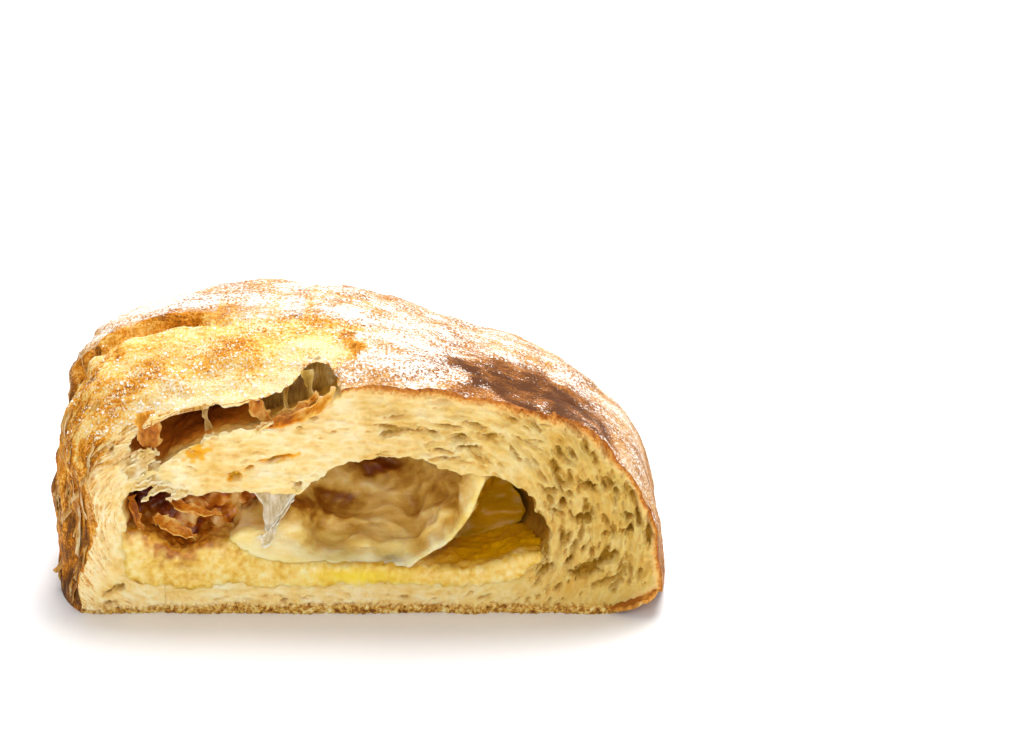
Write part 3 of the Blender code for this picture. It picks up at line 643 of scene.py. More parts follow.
def cut_crumb():
    """Crumb of the cut face: pale, soft and open, streaked by its layers, browner towards the crust."""
    made, add, shader = material("laminated_crumb", (3, 1.8, 0.8), Roughness=0.75,
                                 Specular_IOR_Level=0.25, Subsurface_Weight=0.35)
    at = add("TexCoord").outputs["Object"]
    x, _, height = add("SeparateXYZ", at).outputs
    laid = add("Attribute", attribute_name="layers").outputs["Vector"]
    skin, sunk, dried, stained = (add("Attribute", attribute_name=name).outputs["Fac"]
                                  for name in ("skin", "sunk", "dried", "stained"))
    drawn = add("Mapping", laid, Scale=(0.13, 1, 1))
    flattened = add("Mapping", laid, Scale=(0.4, 1, 1))
    streaks = add("TexNoise", drawn, Scale=1 / (1.3 * MM), Detail=5.0, Roughness=0.6)
    fibres = add("TexNoise", drawn, Scale=1 / (0.6 * MM), Detail=4.0, Roughness=0.7)
    patches = add("TexNoise", at, Scale=1 / (5 * MM), Detail=3.0)
    grain = add("TexNoise", at, Scale=1 / (0.7 * MM), Detail=3.0)
    cells = add("TexVoronoi", flattened, Scale=1 / (1.5 * MM), Smoothness=0.6, Detail=1.0,
                feature="SMOOTH_F1")
    tone = added(add, 0.5, (patches, 0.7), (streaks, 0.4), (cells, 0.3))
    pale = add("ValToRGB", tone, stops=[
        (0.3, "#E8BC60"), (0.44, "#F2CE80"), (0.58, "#F8DD9A"), (0.75, "#FDEBBC")])
    # Darker and yellower towards the right: painted shadow of the pastry's other half, which is left out.
    rightwards = add("MapRange", x, -14 * MM, 52 * MM)
    painted_shadow_tint = add("ValToRGB", rightwards, stops=[
        (0.0, "#FFFFFF"), (0.3, "#F5F3EE"), (0.62, "#F0EAD0"), (1.0, "#DCD0A0")])
    crumb = add("Mix", 1.0, pale, painted_shadow_tint, data_type="RGBA", blend_type="MULTIPLY")
    fibrous = add("ValToRGB", fibres, stops=[
        (0.34, "#C4812E"), (0.43, "#EBBE70"), (0.52, "#F9E0A4"), (0.64, "#FDEFC8")])
    crumb = add("Mix", dried, crumb, fibrous, data_type="RGBA")
    crumb = add("Mix", stained, crumb, "#F5B428", data_type="RGBA")
    # Darker deeper in the pores, behind the knife's cut: painted shade.
    deep = add("MapRange", sunk, 0.2, 2.4, interpolation_type="SMOOTHSTEP")
    crumb = add("Mix", deep, crumb, "#B4861E", data_type="RGBA")
    frayed = add("Math", grain, -2.2, skin, operation="MULTIPLY_ADD")
    inwards = add("MapRange", frayed, -1.2, 1.4)
    rind = add("ValToRGB", inwards, stops=[
        (0.0, "#98541C"), (0.3, "#D08A34"), (0.6, "#F6CF7E"), (1.0, "#FDEDBD")])
    rind_share = add("MapRange", inwards, 0.35, 1.0, 1.0, 0.0)
    crumb = add("Mix", rind_share, crumb, rind, data_type="RGBA")
    thinner = add("MapRange", x, -54 * MM, -24 * MM, 1.1 * MM, 0.0)
    raised = add("Math", thinner, height, operation="ADD")
    above = added(add, raised, (grain, -2.6 * MM), (patches, -2.0 * MM))
    low = add("MapRange", above, 1.6 * MM, 2.7 * MM, 1.0, 0.0)
    speckles = add("TexNoise", at, Scale=1 / (1.1 * MM), Detail=4.0, Roughness=0.7)
    sole = add("ValToRGB", speckles, stops=[
        (0.34, "#74440F"), (0.46, "#B87E2C"), (0.55, "#E2B658"), (0.66, "#F8E6A8")])
    foam = add("TexNoise", at, Scale=1 / (0.5 * MM), Detail=3.0)
    rough = add("Bump", Height=foam, Strength=0.5, Distance=0.3 * MM)
    walls = added(add, 0.0, (cells, 1.0), (streaks, 0.6))
    feed(shader, Base_Color=add("Mix", low, crumb, sole, data_type="RGBA"),
         Normal=add("Bump", Height=walls, Strength=0.6, Distance=0.6 * MM, Normal=rough))
    return made


def hollow_wall():
    """Inner wall of a steam hollow: buttered dough, pale at the knife's lip and brown inside, partly its own
    browning and partly painted shade deeper in.
    """
    made, add, shader = material("buttered_hollow_wall", (2, 1, 0.4), Roughness=0.38,
                                 Specular_IOR_Level=0.5, Subsurface_Weight=0.15)
    at = add("TexCoord").outputs["Object"]
    glazed, olive = (add("Attribute", attribute_name=name).outputs["Fac"]
                     for name in ("glazed", "olive"))
    hung = add("Mapping", at, Scale=(1, 1, 0.3))
    blotches = add("TexNoise", hung, Scale=1 / (3 * MM), Detail=5.0, Roughness=0.6)
    inside = added(add, glazed, (blotches, 0.6))
    warm = add("ValToRGB", inside, stops=[
        (0.0, "#F7DC98"), (0.2, "#F0C060"), (0.4, "#E09430"), (0.65, "#C4701A"), (1.0, "#84400C")])
    cool = add("ValToRGB", inside, stops=[
        (0.0, "#F4DC94"), (0.3, "#E0B24C"), (0.6, "#C08C28"), (1.0, "#7E540E")])
    folds = add("TexNoise", hung, Scale=1 / (1.6 * MM), Detail=4.0)
    feed(shader, Base_Color=add("Mix", olive, warm, cool, data_type="RGBA"),
         Normal=add("Bump", Height=folds, Strength=0.6, Distance=0.8 * MM))
    return made


def finish_piece(piece, slot, *materials):
    """Shades the piece smooth but for its sharp edges, gives it its materials and sets it on the body."""
    for one in materials:
        piece.data.materials.append(one)
    piece.data.shade_smooth()
    piece.data.set_sharp_from_angle(angle=math.radians(SHARP_EDGE))
    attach(piece, "root")


pastry.data.materials.clear()
finish_piece(pastry, "baked_dough", baked_crust(), cut_crumb(), hollow_wall())
pastry.data.polygons.foreach_set("material_index", kinds)
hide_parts("pastry")

# Leaves of the left side: the dough's outer layers dried, split and stand off the steep flank. Each is
# a thin torn sheet of crust, broad where it is still held and ragged at its free end. A thicker flap of
# the base crust stands up at the cut's right corner.
FRONT_LIMIT = -1.5  # no torn piece stands further in front of the cut, in mm
LARGE_LEAVES = [  # (depth, z, length, width, lean in degrees, lift), from its root, in millimetres
    (10, 27, 16, 6, -26, 1.5), (14, 33, 9, 4.6, 196, 1.6), (18, 36, 8, 4, 172, 1.5),
    (12, 10, 6, 4.4, 10, 1.8), (5, 16, 13, 4, -8, 1), (20, 25, 12, 4.4, 4, 1.2), (4, 31, 10, 3.4, -14, 0.9),
    (7, 40, 9, 3.6, 12, 0.9)]
SMALL_LEAVES = 84
LEAF_TAPER = (0.8, 1, 0.85, 0.55, 0.16)
DARK_BELOW = 26  # leaves whose root is lower than this are darker, in mm
BASE_FLAP = [(52, 1.4, 2), (56, 0.4, 2.8), (59.4, 0, 3.9), (62.4, -0.2, 5.6)]


def torn_sheet(bm, spine, widths, facing, thick=0.3, ragged=0.35, cupped=0.3, cells=(9, 4), darker=0.0):
    """Adds a torn sheet laid along (x, depth, z) points, in mm. Its broad side faces this direction."""
    edge = bm.verts.layers.float.get("edge") or bm.verts.layers.float.new("edge")
    verts = bmesh.ops.create_grid(bm, x_segments=cells[0], y_segments=cells[1], size=1)["verts"]
    faces = list(dict.fromkeys(face for vert in verts for face in vert.link_faces))
    flat = np.array([vert.co[:] for vert in verts])
    share, across = (flat[:, 0] + 1) / 2, flat[:, 1]
    stops = np.linspace(0, 1, len(spine))
    columns = [np.stack([stops, column], axis=1) for column in np.array(spine, float).T]
    middle, ahead, behind = (np.stack([curve(column, at) for column in columns], axis=1)
                             for at in (share, np.minimum(share + 0.04, 1), np.maximum(share - 0.04, 0)))
    side = np.cross(ahead - behind, facing)
    side /= np.linalg.norm(side, axis=1, keepdims=True)
    out = np.cross(side, ahead - behind)
    out /= np.linalg.norm(out, axis=1, keepdims=True)
    width = curve(np.stack([np.linspace(0, 1, len(widths)), widths], axis=1), share)
    places = middle + side * (across * width / 2)[:, None] + out * (cupped * across**2)[:, None]
    rim = np.maximum(abs(across), share)**6
    shifts = np.array([noise.noise_vector(at) for at in (places / 0.9).tolist()])
    waves = np.array([noise.noise_vector(at) for at in (places / 3 + 7).tolist()])
    bites = np.array([noise.noise(at) for at in (places / 1.7 + 3).tolist()])
    places -= side * (across * rim * ragged * 1.8 * np.maximum(bites + 0.15, 0))[:, None]
    places += shifts * ragged * (0.25 + rim)[:, None] + waves * 0.5 * share[:, None]
    places[:, 1] = np.maximum(places[:, 1], FRONT_LIMIT)
    for vert, at, part in zip(verts, places.tolist(), rim.tolist()):
        vert.co = (at[0] * MM, CUT + at[1] * MM, at[2] * MM)
        vert[edge] = part - darker
    bmesh.ops.solidify(bm, geom=faces, thickness=thick * MM)


def on_flank(depth, z):
    """How far left the dough's steep left side stands at this depth and height, in mm."""
    return crust_surface.ray_cast((-90 * MM, CUT + depth * MM, z * MM), (1, 0, 0))[0].x / MM


def flank_leaf(bm, depth, z, length, width, lean, lift):
    """Adds a leaf that is rooted at this depth and height and stands off the flank towards its end."""
    spine = []
    for share in (0, 0.25, 0.5, 0.75, 1):
        at_depth = depth + share * length * math.sin(lean)
        at_z = max(z - share * length * math.cos(lean), 1.2)
        spine.append((on_flank(at_depth, at_z) + 0.35 - lift * share**1.6, at_depth, at_z))
    torn_sheet(bm, spine, [width * share for share in LEAF_TAPER], (-1, -0.2, 0), cupped=-0.12 * width,
               cells=(8, 3), darker=1.3 * (1 - min(z / DARK_BELOW, 1)))


def torn_dough(name, folds, low, middle, high, roughness=0.55):
    """Thin torn dough: fibrous along its pull, darker or paler by the tear, its thin edge pale."""
    made, add, shader = material(name, (2, 1.2, 0.5), Roughness=roughness, Specular_IOR_Level=0.2,
                                 Subsurface_Weight=0.3)
    at = add("TexCoord").outputs["Object"]
    edge = add("Attribute", attribute_name="edge").outputs["Fac"]
    hung = add("Mapping", at, Scale=folds)
    fibres = add("TexNoise", hung, Scale=1 / (0.8 * MM), Detail=4.0, Roughness=0.65)
    clouds = add("TexNoise", at, Scale=1 / (4 * MM), Detail=3.0)
    paler = add("Math", edge, 0.18, 0.45, operation="MULTIPLY_ADD")
    tone = added(add, paler, (fibres, 0.9), (clouds, 0.9))
    feed(shader, Base_Color=add("ValToRGB", tone, stops=[(0.25, low), (0.5, middle), (0.72, high)]),
         Normal=add("Bump", Height=fibres, Strength=0.6, Distance=0.3 * MM))
    return made


rng = random.Random(21)
bm = bmesh.new()
for depth, z, length, width, lean, lift in LARGE_LEAVES:
    flank_leaf(bm, depth, z, length, width, math.radians(lean), lift)
for _ in range(SMALL_LEAVES):
    lean = rng.gauss(0, 0.2) + rng.choice((0, 0, math.pi))
    flank_leaf(bm, rng.uniform(1.2, 25), rng.uniform(8, 42), rng.uniform(5, 12), rng.uniform(1.6, 3.8), lean,
               rng.uniform(0.2, 0.9))
torn_sheet(bm, BASE_FLAP, (3, 3.4, 3, 1.2), (0, -0.6, 1), thick=0.8, ragged=0.6, cells=(12, 5), darker=1.2)
leaves = piece_from(bm, "flank_leaves")
dried_crust = torn_dough("dried_crust_leaf", (1, 1, 0.25), "#A05C14", "#D8983C", "#F6D698")
finish_piece(leaves, "baked_dough", dried_crust)

# Flour that clumped on the torn dough, and crumbs that the knife left near the cut's upper edge: small
# grains of no fixed shape, each pressed a little into what it lies on.
GRAINS = [  # (how many, left, right, near, far, smallest radius, largest radius), in millimetres
    (900, -60, 3, 1, 20, 0.1, 0.4), (450, -50, -2, 1, 9, 0.12, 0.45)]


def scatter_grains(bm, count, left, right, near, far, small, large):
    """Sets grains on the torn crust between two places across and two depths behind the cut."""
    for _ in range(count):
        x, depth = rng.uniform(left, right), rng.uniform(near, far)
        found, facing, _, _ = pastry_surface.ray_cast((x * MM, CUT + depth * MM, 90 * MM), (0, 0, -1))
        radius = small + (large - small) * rng.random()**3
        if not found or lifted_crust(x, depth) > 0.5 or crust_surface.find_nearest(found)[3] > 0.1 * MM:
            continue
        grain = bmesh.ops.create_icosphere(bm, subdivisions=1, radius=radius * MM)["verts"]
        for vert in grain:
            vert.co = found + (vert.co - facing * vert.co.dot(facing) * 0.5) * rng.uniform(0.5, 1.3)


def clumped_flour():
    """Wheat flour that drew fat from the dough: chalky and quite matt, cream to nearly white."""
    made, add, shader = material("clumped_wheat_flour", Roughness=0.95, Specular_IOR_Level=0.1)
    at = add("TexCoord").outputs["Object"]
    clouds = add("TexNoise", at, Scale=1 / (1.2 * MM), Detail=2.0)
    feed(shader, Base_Color=add("ValToRGB", clouds, stops=[(0.35, "#F2DDB0"), (0.6, "#FBF5EA")]))
    return made


pastry_surface = surface_of(pastry)
bm = bmesh.new()
for field in GRAINS:
    scatter_grains(bm, *field)
grains = piece_from(bm, "flour_grains")
finish_piece(grains, "baked_dough", clumped_flour())

# Torn ends of crumb: where the knife and the steam pulled the dough apart, the bridge between hollow
# and pocket ends in ragged tips, and a flap of it stands up at the left.
TORN_TIPS = [  # (spine of (x, depth, z) points, widths, facing), in millimetres
    ([(-38, 1.2, 31), (-42, 0.4, 30), (-45.6, 0, 28.4)], (3, 2.2, 0.5), (0, -1, 0.3)),
    ([(-37, 0.8, 29), (-41, 0, 28.2), (-44, -0.4, 26)], (2.6, 1.8, 0.4), (0, -1, 0.2)),
    ([(-40, 1.6, 33), (-43.6, 0.8, 32), (-46.8, 0.6, 30)], (2.2, 1.6, 0.4), (0, -1, 0.4)),
    ([(-34, 0.6, 28.4), (-36.6, 0, 27.4), (-38.6, -0.4, 26.2)], (2.4, 1.6, 0.5), (0, -1, 0)),
    ([(-48.6, 1, 29.6), (-45, 0, 33), (-42, -0.4, 35.6), (-40, 0, 36.6)], (2.6, 3.4, 3.2, 2),
     (0.3, -1, 0.2)),
    ([(-46.6, 0.4, 34), (-44, -0.3, 36.4), (-41.6, -0.4, 37.4)], (1.6, 1.8, 0.8), (0.2, -1, 0)),
    ([(-31, 0.4, 38.4), (-30.4, -0.4, 39.8), (-29, -0.2, 40.3), (-28, 0.6, 39.8)], (1.2, 1, 0.8, 0.5),
     (0, -0.6, 1)),
    ([(-20, 0.6, 41), (-18.6, -0.2, 42.2), (-16.8, 0, 42.8)], (1.6, 1.2, 0.4), (0, -1, 1))]


def torn_piece(name, sheets, **shape):
    """One mesh of torn sheets, each given as (spine, widths, facing)."""
    bm = bmesh.new()
    for spine, widths, facing in sheets:
        torn_sheet(bm, spine, widths, facing, **shape)
    return piece_from(bm, name)


tips = torn_piece("torn_crumb_tips", TORN_TIPS, thick=0.45, ragged=0.6, cells=(10, 5))
torn_crumb = torn_dough("torn_crumb", (0.4, 1, 0.6), "#B8741E", "#EDC676", "#FAE6B4", 0.7)
finish_piece(tips, "baked_dough", torn_crumb)

# Skins of the steam hollow and of the browned filling: films of buttered dough that stretched, tore and
# dried to an orange glaze. Each hangs from a wall or lies on what is beneath it.
GLAZED_SKINS = [
    ([(-42.6, 1.6, 44.6), (-42.2, 1, 42.4), (-41.6, 0.8, 39.6), (-40.6, 1.2, 37)], (4.4, 5.4, 5, 2.6),
     (0.5, -1, 0)),
    ([(-20.4, 3, 48), (-19.6, 2.4, 45.6), (-18.4, 2.2, 43.6), (-16.8, 2.4, 42)], (2.6, 3.4, 3, 2),
     (-0.3, -1, 0.2)),
    ([(-20, 0.8, 41.6), (-15.6, 0.6, 42.6), (-10.6, 0.5, 44.2), (-6.4, 0.4, 47), (-3.6, 0.5, 50.2)],
     (1.4, 2.2, 2.6, 2.4, 1), (0.2, -1, 0.9)),
    ([(-17, 3.2, 42.6), (-12, 3, 44.4), (-7.6, 2.8, 48)], (1.6, 2.4, 1.2), (0.3, -1, 0.6)),
    ([(-41.6, 2, 21.4), (-39, 0.6, 20.2), (-36, 0, 18.8), (-33, 0.2, 17.6)], (1.6, 3.4, 3, 1),
     (0.1, -1, 1.2)),
    ([(-38, 2, 24.6), (-35, 1, 23.6), (-31, 1, 22.6), (-28, 1.6, 22.2)], (1.4, 2.6, 2.2, 1), (0.1, -1, 1.4)),
    ([(-46.6, 3, 25.4), (-45.8, 1.8, 22.4), (-44.8, 1.4, 19.4), (-42.6, 1, 16.4)], (1.6, 2, 1.8, 0.8),
     (0.7, -1, 0))]
skins = torn_piece("glazed_skins", GLAZED_SKINS, thick=0.22, ragged=0.65, cells=(14, 7))
glaze_film = torn_dough("buttered_dough_skin", (0.6, 1, 0.35), "#8E420A", "#D87C1A", "#F4BC5C", 0.28)
finish_piece(skins, "browned_filling", glaze_film)

# Strands in the steam hollow: pale threads of gluten, drawn from its roof to its floor as the steam
# lifted the crust, and a veil of the same stretched dough behind them.
STRANDS = [(-31, 5, 46.6, 39.4, 1.8), (-14.4, 4.4, 49.6, 43, 1.4), (-9.6, 5, 51.8, 45, 1.9)]
VEIL = [(-20, 8, 45), (-15.6, 8.4, 46.8), (-11, 8.6, 48.8), (-6.6, 8.6, 50.2), (-3.6, 9, 50.4)]
TO_CUT = (0, -1, 0)
bm = bmesh.new()
for x, depth, top, low, width in STRANDS:
    spine = [(x, depth, top + 0.6), (x + 0.5, depth - 0.8, (top + low) / 2),
             (x + 1.2, depth - 0.4, low - 0.4)]
    torn_sheet(bm, spine, (width * 1.5, width * 0.7, width * 1.4), TO_CUT, thick=0.25, ragged=0.3,
               cells=(10, 3))
torn_sheet(bm, VEIL, (8, 9, 10, 8, 5), TO_CUT, thick=0.3, ragged=0.5, cells=(24, 12))
strands = piece_from(bm, "gluten_strands")
gluten = torn_dough("gluten_strand", (1, 1, 0.16), "#80520E", "#B4842E", "#DCB870", 0.4)
finish_piece(strands, "baked_dough", gluten)

# The custard on the pocket's floor: a set vanilla cream, grainy where the knife dragged it.
# It is an even remesh of the frame's custard, pushed out to the dough and roughened.
CUSTARD_TOP = [(-50, 19), (-44, 17.4), (-41, 14.8), (-35, 13.2), (-30, 15.8), (-26, 15.4), (-22, 12.6),
               (-15, 10.7), (0, 10.3), (10, 10), (20, 9.3), (28, 10.4), (34, 12.4), (42, 14)]
VIVID_HEIGHT, VIVID_HALF_LENGTH, VIVID_HALF_HEIGHT = 8.6, 9, 1.6  # the yellow streak in the cut


def soft_copy(node, name, voxel):
    """A merged copy of a solid of the frame, remeshed evenly so that it can be shaped like soft food."""
    bm = bmesh.new()
    bm.from_mesh(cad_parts[node].data)
    bmesh.ops.remove_doubles(bm, verts=bm.verts, dist=0.001 * MM)
    piece = piece_from(bm, name)
    apply_modifier(piece, "REMESH", mode="VOXEL", voxel_size=voxel * MM)
    piece.data.name = name
    piece.data.materials.clear()
    return piece


def soften(piece, times):
    """Smooths the piece as often as this."""
    bm = bmesh.new()
    bm.from_mesh(piece.data)
    for _ in range(times):
        bmesh.ops.smooth_vert(bm, verts=bm.verts, factor=0.5, use_axis_x=True, use_axis_y=True,
                              use_axis_z=True)
    bm.to_mesh(piece.data)
    bm.free()


def swell(piece, heights):
    """Moves each point outwards by its height, in millimetres."""
    place(piece.data, coordinates(piece.data) + normals(piece.data) * (heights * MM)[:, None])


def set_custard():
    """Set vanilla custard: moist and grainy, pale yellow, vivid in one streak and brown under syrup."""
    made, add, shader = material("set_vanilla_custard", (3, 2, 0.6), Roughness=0.32, Subsurface_Weight=0.4)
    at = add("TexCoord").outputs["Object"]
    vivid, shaded, syrup = (add("Attribute", attribute_name=name).outputs["Fac"]
                            for name in ("vivid", "shaded", "syrup"))
    grains = add("TexNoise", at, Scale=1 / (1.4 * MM), Detail=4.0)
    clouds = add("TexNoise", at, Scale=1 / (5 * MM), Detail=3.0)
    both = add("Math", grains, clouds, operation="ADD")
    tone = add("Math", both, 0.5, operation="MULTIPLY")
    cream = add("ValToRGB", tone, stops=[
        (0.36, "#D9A22C"), (0.45, "#EBC152"), (0.54, "#F3D57C"), (0.66, "#FBE9AE")])
    cream = add("Mix", vivid, cream, "#F2D21C", data_type="RGBA")
    cream = add("Mix", shaded, cream, "#DDA400", data_type="RGBA")
    glaze = add("ValToRGB", tone, stops=[(0.38, "#8E4604"), (0.5, "#C67A0C"), (0.6, "#EDB444")])
    feed(shader, Base_Color=add("Mix", syrup, cream, glaze, data_type="RGBA"),
         Normal=add("Bump", Height=grains, Strength=0.5, Distance=0.5 * MM))
    return made


custard = soft_copy("custard", "custard_layer", 0.5)
soften(custard, 2)
points = coordinates(custard.data)
outward = normals(custard.data)
against_dough = np.maximum(abs(outward[:, 0]), -outward[:, 2])
swell(custard, 0.6 + against_dough + 0.55 * wander(points, 1.7) + 0.3 * wander(points, 0.9)
      + 0.5 * wander(points, 5))
points = coordinates(custard.data)
x, depth, z = measures(points)
streak = np.exp(-(x / VIVID_HALF_LENGTH)**2 - ((z - VIVID_HEIGHT) / VIVID_HALF_HEIGHT)**2)
to_top = curve(CUSTARD_TOP, x) - z + 3 * wander(points, 2.2) + 2 * wander(points, 5)
store(custard.data, vivid=streak * step(4, 1, depth),
      shaded=step(8, 22, x) * (0.14 + 0.86 * step(0.5, 5, depth)),
      syrup=step(3.2, -0.2, to_top) * step(-24, -32, x))
finish_piece(custard, "custard", set_custard())
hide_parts("custard")

# The cheese: soft fresh cheese that melted, rose in one large bubble and set in folds.
# The bubble's skin is thin at its right, where it parts the bubble from the hollow beside it.
BUBBLE = [(-14.6, 22.4), (-11.2, 19.4), (-10, 16), (-8, 13.4), (-2, 12), (6, 11.8), (12.4, 13.6),
          (16.6, 16.6), (19.7, 21.6), (21.6, 27), (21.2, 32.4), (17, 35.4), (5, 37), (-4, 36), (-9, 32),
          (-12, 28)]
RIGHT_CAVE = [(10.4, 10.2), (15.1, 13.2), (19.1, 15.5), (22.1, 20.4), (24.6, 25.3), (26.4, 29),
              (27.8, 32.6), (36, 33), (44, 26), (44, 12), (36, 6), (24, 5), (12, 7)]
LEFT_CAVE = [(-51, 10), (-51, 30), (-40, 32), (-30, 30.4), (-21.6, 30), (-20.2, 26.6), (-19.6, 22.4),
             (-22.7, 18.6), (-26, 17), (-27, 13), (-30, 8)]
RIM_PUSH, COLUMN_PUSH = 6.5, 9
FOLD_TILT, CREASE_TILT, WISP_TILT = 28, -14, -20
SEEN_SLOPE = 0.37  # how much higher a point looks from the front for each mm behind the cut


def outline_distance(outline, x, z):
    """Distance to a closed outline, in mm, and whether each place is inside it."""
    ring = outline_ring(outline, 90)[:, [0, 2]] / MM
    sides = list(zip(ring, np.roll(ring, -1, axis=0)))
    nearest = np.minimum.reduce([to_segment(x, z, *ends) for ends in sides])
    inside = np.zeros(len(x), bool)
    for (x0, z0), (x1, z1) in sides:
        if z0 != z1:
            crosses = (z0 > z) != (z1 > z)
            inside ^= crosses & (x < x0 + (z - z0) * (x1 - x0) / (z1 - z0))
    return nearest, inside


def tilted(points, degrees):
    """The points turned about the axis that runs away from the cut, so that a pattern on them slants."""
    return points @ np.array(Matrix.Rotation(math.radians(degrees), 3, "Y"))


def melted_cheese():
    """Melted fresh cheese: creamy and moist. Brown under the bubble's roof, partly browned there and partly
    painted shade. Darker deeper in and olive in the right cave by painted shade, paler on its crests by
    painted highlights.
    """
    made, add, shader = material("melted_fresh_cheese", (4, 2.4, 1), Roughness=0.3,
                                 Specular_IOR_Level=0.25, Subsurface_Weight=0.45)
    at = add("TexCoord").outputs["Object"]
    toned, olive = (add("Attribute", attribute_name=name).outputs["Fac"]
                    for name in ("tone", "olive"))
    pulled = add("Mapping", at, Rotation=(0, math.radians(WISP_TILT), 0), Scale=(0.3, 1, 1))
    clouds = add("TexNoise", at, Scale=1 / (3 * MM), Detail=4.0)
    wisps = add("TexNoise", pulled, Scale=1 / (1.8 * MM), Detail=5.0, Roughness=0.65)
    varied = added(add, toned, (clouds, 0.3), (wisps, 0.6))
    cream = add("ValToRGB", varied, stops=[
        (0.0, "#FCE9B4"), (0.2, "#F6D98C"), (0.4, "#EBC668"), (0.58, "#D2A444"), (0.76, "#A86E1C"),
        (1.0, "#7A3602")])
    wrinkles = add("TexNoise", at, Scale=1 / (1.6 * MM), Detail=4.0)
    feed(shader, Base_Color=add("Mix", olive, cream, "#C89408", data_type="RGBA"),
         Normal=add("Bump", Height=wrinkles, Strength=0.5, Distance=0.6 * MM))
    return made


cheese = soft_copy("cheese", "melted_cheese", 0.42)
soften(cheese, 5)
points = coordinates(cheese.data)
x, depth, z = measures(points)
to_bubble, in_bubble = outline_distance(BUBBLE, x, z)
to_caves = np.minimum(outline_distance(RIGHT_CAVE, x, z)[0], outline_distance(LEFT_CAVE, x, z)[0])
to_rim = np.minimum(to_caves, np.maximum(z - curve(CUSTARD_TOP, x), 0))
share = np.where(in_bubble, 1, to_rim / (to_rim + to_bubble + 0.01))
column = step(18, 20.5, z) * step(-12, -15, x)
pushed = np.maximum(RIM_PUSH * share**1.3, COLUMN_PUSH * column)
points[:, 1] += pushed * (1 - depth / POCKET_DEPTH) * MM
place(cheese.data, points)
inside = step(1.2, 5, (points[:, 1] - CUT) / MM)
slanted = tilted(points, FOLD_TILT)
folds = 0.4 - np.sqrt((2 * wander(slanted, (12, 9, 5.2)))**2 + 0.02)
creases = 0.4 - abs(2 * wander(tilted(points, CREASE_TILT), (6, 5, 2.2)))
swell(cheese, 0.45 + inside * (1.5 * folds + 0.6 * creases + 1.0 * wander(slanted, (8, 6, 3.4)))
      + 0.25 * wander(points, 2.6))
soften(cheese, 2)
points = coordinates(cheese.data)
x, depth, z = measures(points)
behind_rim = step(1, 8, depth)
# Darker behind the pale rim and deeper in: painted shade inside the bubble.
tone = 0.14 + 0.2 * behind_rim + 0.004 * depth * behind_rim + 0.3 * wander(slanted, (9, 9, 4))
# Paler crests of the folds and creases: painted highlights.
tone -= (0.12 * folds + 0.16 * creases) * inside
# Darker at the top of the bubble and at its left corner: painted shade under the roof, partly cheese that
# browned against it.
seen = z + SEEN_SLOPE * depth
tone += 0.5 * np.exp(-((x - 2.2) / 4.5)**2) * step(28.4, 31, seen + 2 * wander(points, 3)) * inside
tone += 0.4 * np.exp(-((x + 12) / 4.5)**2 - ((seen - 24.2) / 2.2)**2) * step(2, 5, depth)
slanting_line = np.exp(-((seen - 26 + 0.31 * (x + 5)) / 0.9)**2)
tone += 0.3 * slanting_line * step(-11, -9, x) * step(1, -3, x) * inside
tone += 0.1 * step(17, 21, x) - 0.08 * step(15, 10, z) * step(-12, -4, x)
# Olive in the right cave: painted shade.
store(cheese.data, tone=np.clip(tone, 0, 1), olive=step(19, 24, x) * step(1.5, 6, depth))
finish_piece(cheese, "melted_cheese", melted_cheese())
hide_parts("cheese")

# The curtain: a film of melted cheese that sticks to the roof of the pocket and hangs to the lobe below.
# It drew together as it cooled, to a fold at its left side and a thick foot.
CURTAIN = [
    ([(-16.6, 3.2, 29.4), (-16.7, 1.8, 27.6), (-16.9, 0.9, 25.2), (-17.6, 0.3, 22), (-18, 0.5, 19)],
     (11.4, 10, 6, 2.8, 1.6), (0, -1, 0)),
    ([(-12.6, 2.8, 28), (-13.8, 1.2, 25.4), (-16, 0.3, 21.6), (-17.4, 0.1, 19.2)], (2.4, 1.4, 1, 1.6),
     (0, -1, 0)),
    ([(-17.9, 0.5, 20), (-18, 0, 18.4), (-18.6, 0, 17), (-20, 0.5, 16.2)], (1.4, 1.8, 2.4, 2), (0, -1, 0.4))]
curtain = torn_piece("cheese_curtain", CURTAIN, thick=0.3, ragged=0.35, cupped=0.6, cells=(14, 10))
film = torn_dough("stretched_cheese_film", (1, 1, 0.2), "#B8A070", "#DECDA6", "#F8EFD8", 0.22)
finish_piece(curtain, "melted_cheese", film)

# The browned filling at the pocket's left end: caramelised lumps, glossy with butter. They are an even
# remesh of the frame's solid, swollen into rounded knobs.


def caramelised_filling():
    """Caramelised filling: wet and glossy, amber on its knobs, and darkened nearly to black by painted shade
    deep in at the pocket's far end.
    """
    made, add, shader = material("caramelised_filling", (3, 1.2, 0.4), Roughness=0.22,
                                 Subsurface_Weight=0.25)
    at = add("TexCoord").outputs["Object"]
    shaded = add("Attribute", attribute_name="shaded").outputs["Fac"]
    clouds = add("TexNoise", at, Scale=1 / (3.5 * MM), Detail=4.0)
    amber = add("ValToRGB", clouds, stops=[
        (0.32, "#6E2806"), (0.44, "#B05A10"), (0.54, "#DC8E24"), (0.66, "#F4C878")])
    wrinkles = add("TexNoise", at, Scale=1 / (1.3 * MM), Detail=4.0)
    feed(shader, Base_Color=add("Mix", shaded, amber, "#5A1C04", data_type="RGBA"),
         Normal=add("Bump", Height=wrinkles, Strength=0.6, Distance=0.6 * MM))
    return made


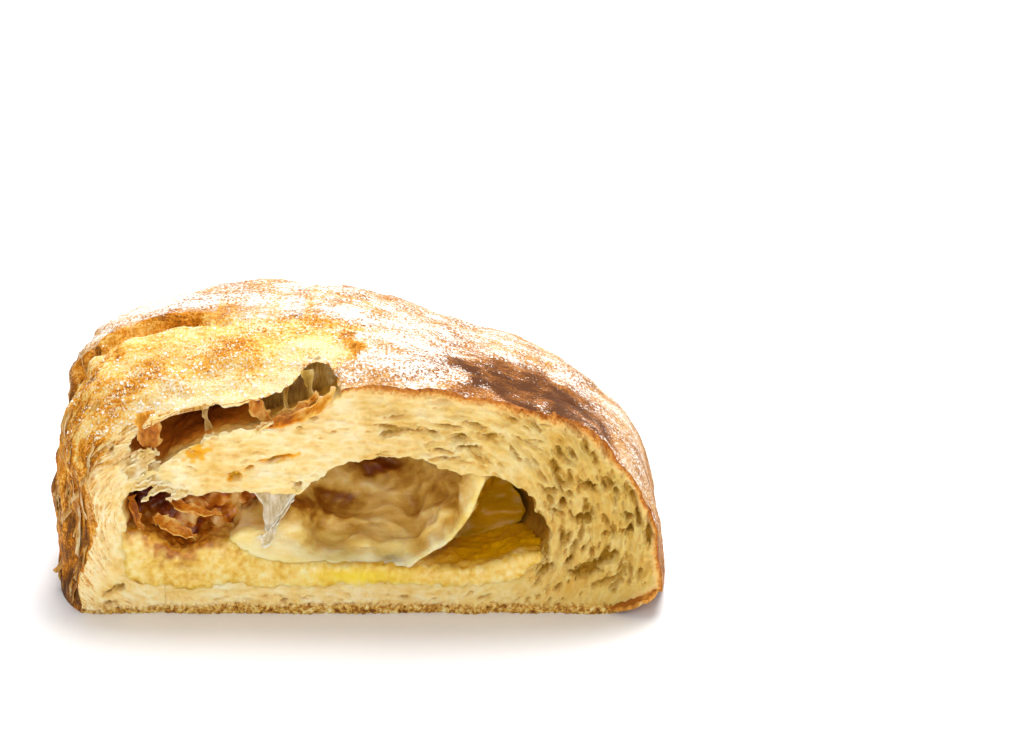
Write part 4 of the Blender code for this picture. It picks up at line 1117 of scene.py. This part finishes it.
browned = soft_copy("browned_filling", "browned_lumps", 0.35)
soften(browned, 3)
points = coordinates(browned.data)
swell(browned, 0.8 + 1.5 * (0.4 - abs(2.2 * wander(points, (5, 5, 3)))) + 0.9 * wander(points, 1.6))
x, depth, z = measures(coordinates(browned.data))
# Deep in and high at the pocket's left end the lumps get painted shade.
store(browned.data, shaded=step(1.5, 6, depth) * step(17, 23, z) * step(-33, -41, x))
finish_piece(browned, "browned_filling", caramelised_filling())
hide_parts("browned_filling")

# The studio: a floor of matt white card, a large soft light from above and behind, a soft fill from the
# front, and a camera that looks down on the cut face.
FLOOR_REACH = 3.0  # from its middle to each side, in metres
ROOM_LIGHT = 0.42
LAMPS = [  # (name, place, aim, side of its square, watts), in metres
    ("key", (0.1, 0.36, 0.8), (0, 0, 0.02), 0.6, 12.5), ("front", (0.05, -0.9, 0.55), (0, 0, 0.03), 0.7, 4.0)]
CAMERA_PLACE = (0.03208, -0.57026, 0.25514)
CAMERA_DOWN = 20.5  # degrees below level
LENS, FILM_WIDTH = 100, 36


def white_card():
    """Matt white card: even and nearly neutral, only faintly mottled."""
    made, add, shader = material("matt_white_card", Roughness=0.6)
    at = add("TexCoord").outputs["Object"]
    mottle = add("TexNoise", at, Scale=1 / (60 * MM), Detail=2.0)
    feed(shader, Base_Color=add("ValToRGB", mottle, stops=[(0.3, "#F4F3F4"), (0.7, "#F7F6F6")]))
    return made


bm = bmesh.new()
bmesh.ops.create_grid(bm, x_segments=1, y_segments=1, size=FLOOR_REACH)
floor = piece_from(bm, "floor")
floor.data.materials.append(white_card())

world = bpy.data.worlds.new("studio")
bpy.context.scene.world = world
world.use_nodes = True
feed(world.node_tree.nodes["Background"], Color="#FFFFFF", Strength=ROOM_LIGHT)

for name, at, aim, size, watts in LAMPS:
    light = bpy.data.lights.new(name, "AREA")
    light.size, light.energy = size, watts
    lamp = bpy.data.objects.new(name, light)
    bpy.context.scene.collection.objects.link(lamp)
    lamp.location = at
    lamp.rotation_euler = (Vector(aim) - Vector(at)).to_track_quat("-Z", "Y").to_euler()

camera = bpy.data.objects.new("camera", bpy.data.cameras.new("camera"))
bpy.context.scene.collection.objects.link(camera)
camera.data.lens, camera.data.sensor_width = LENS, FILM_WIDTH
camera.location = CAMERA_PLACE
camera.rotation_euler = (math.radians(90 - CAMERA_DOWN), 0, 0)
bpy.context.scene.camera = camera
bpy.context.scene.view_settings.view_transform = "Standard"
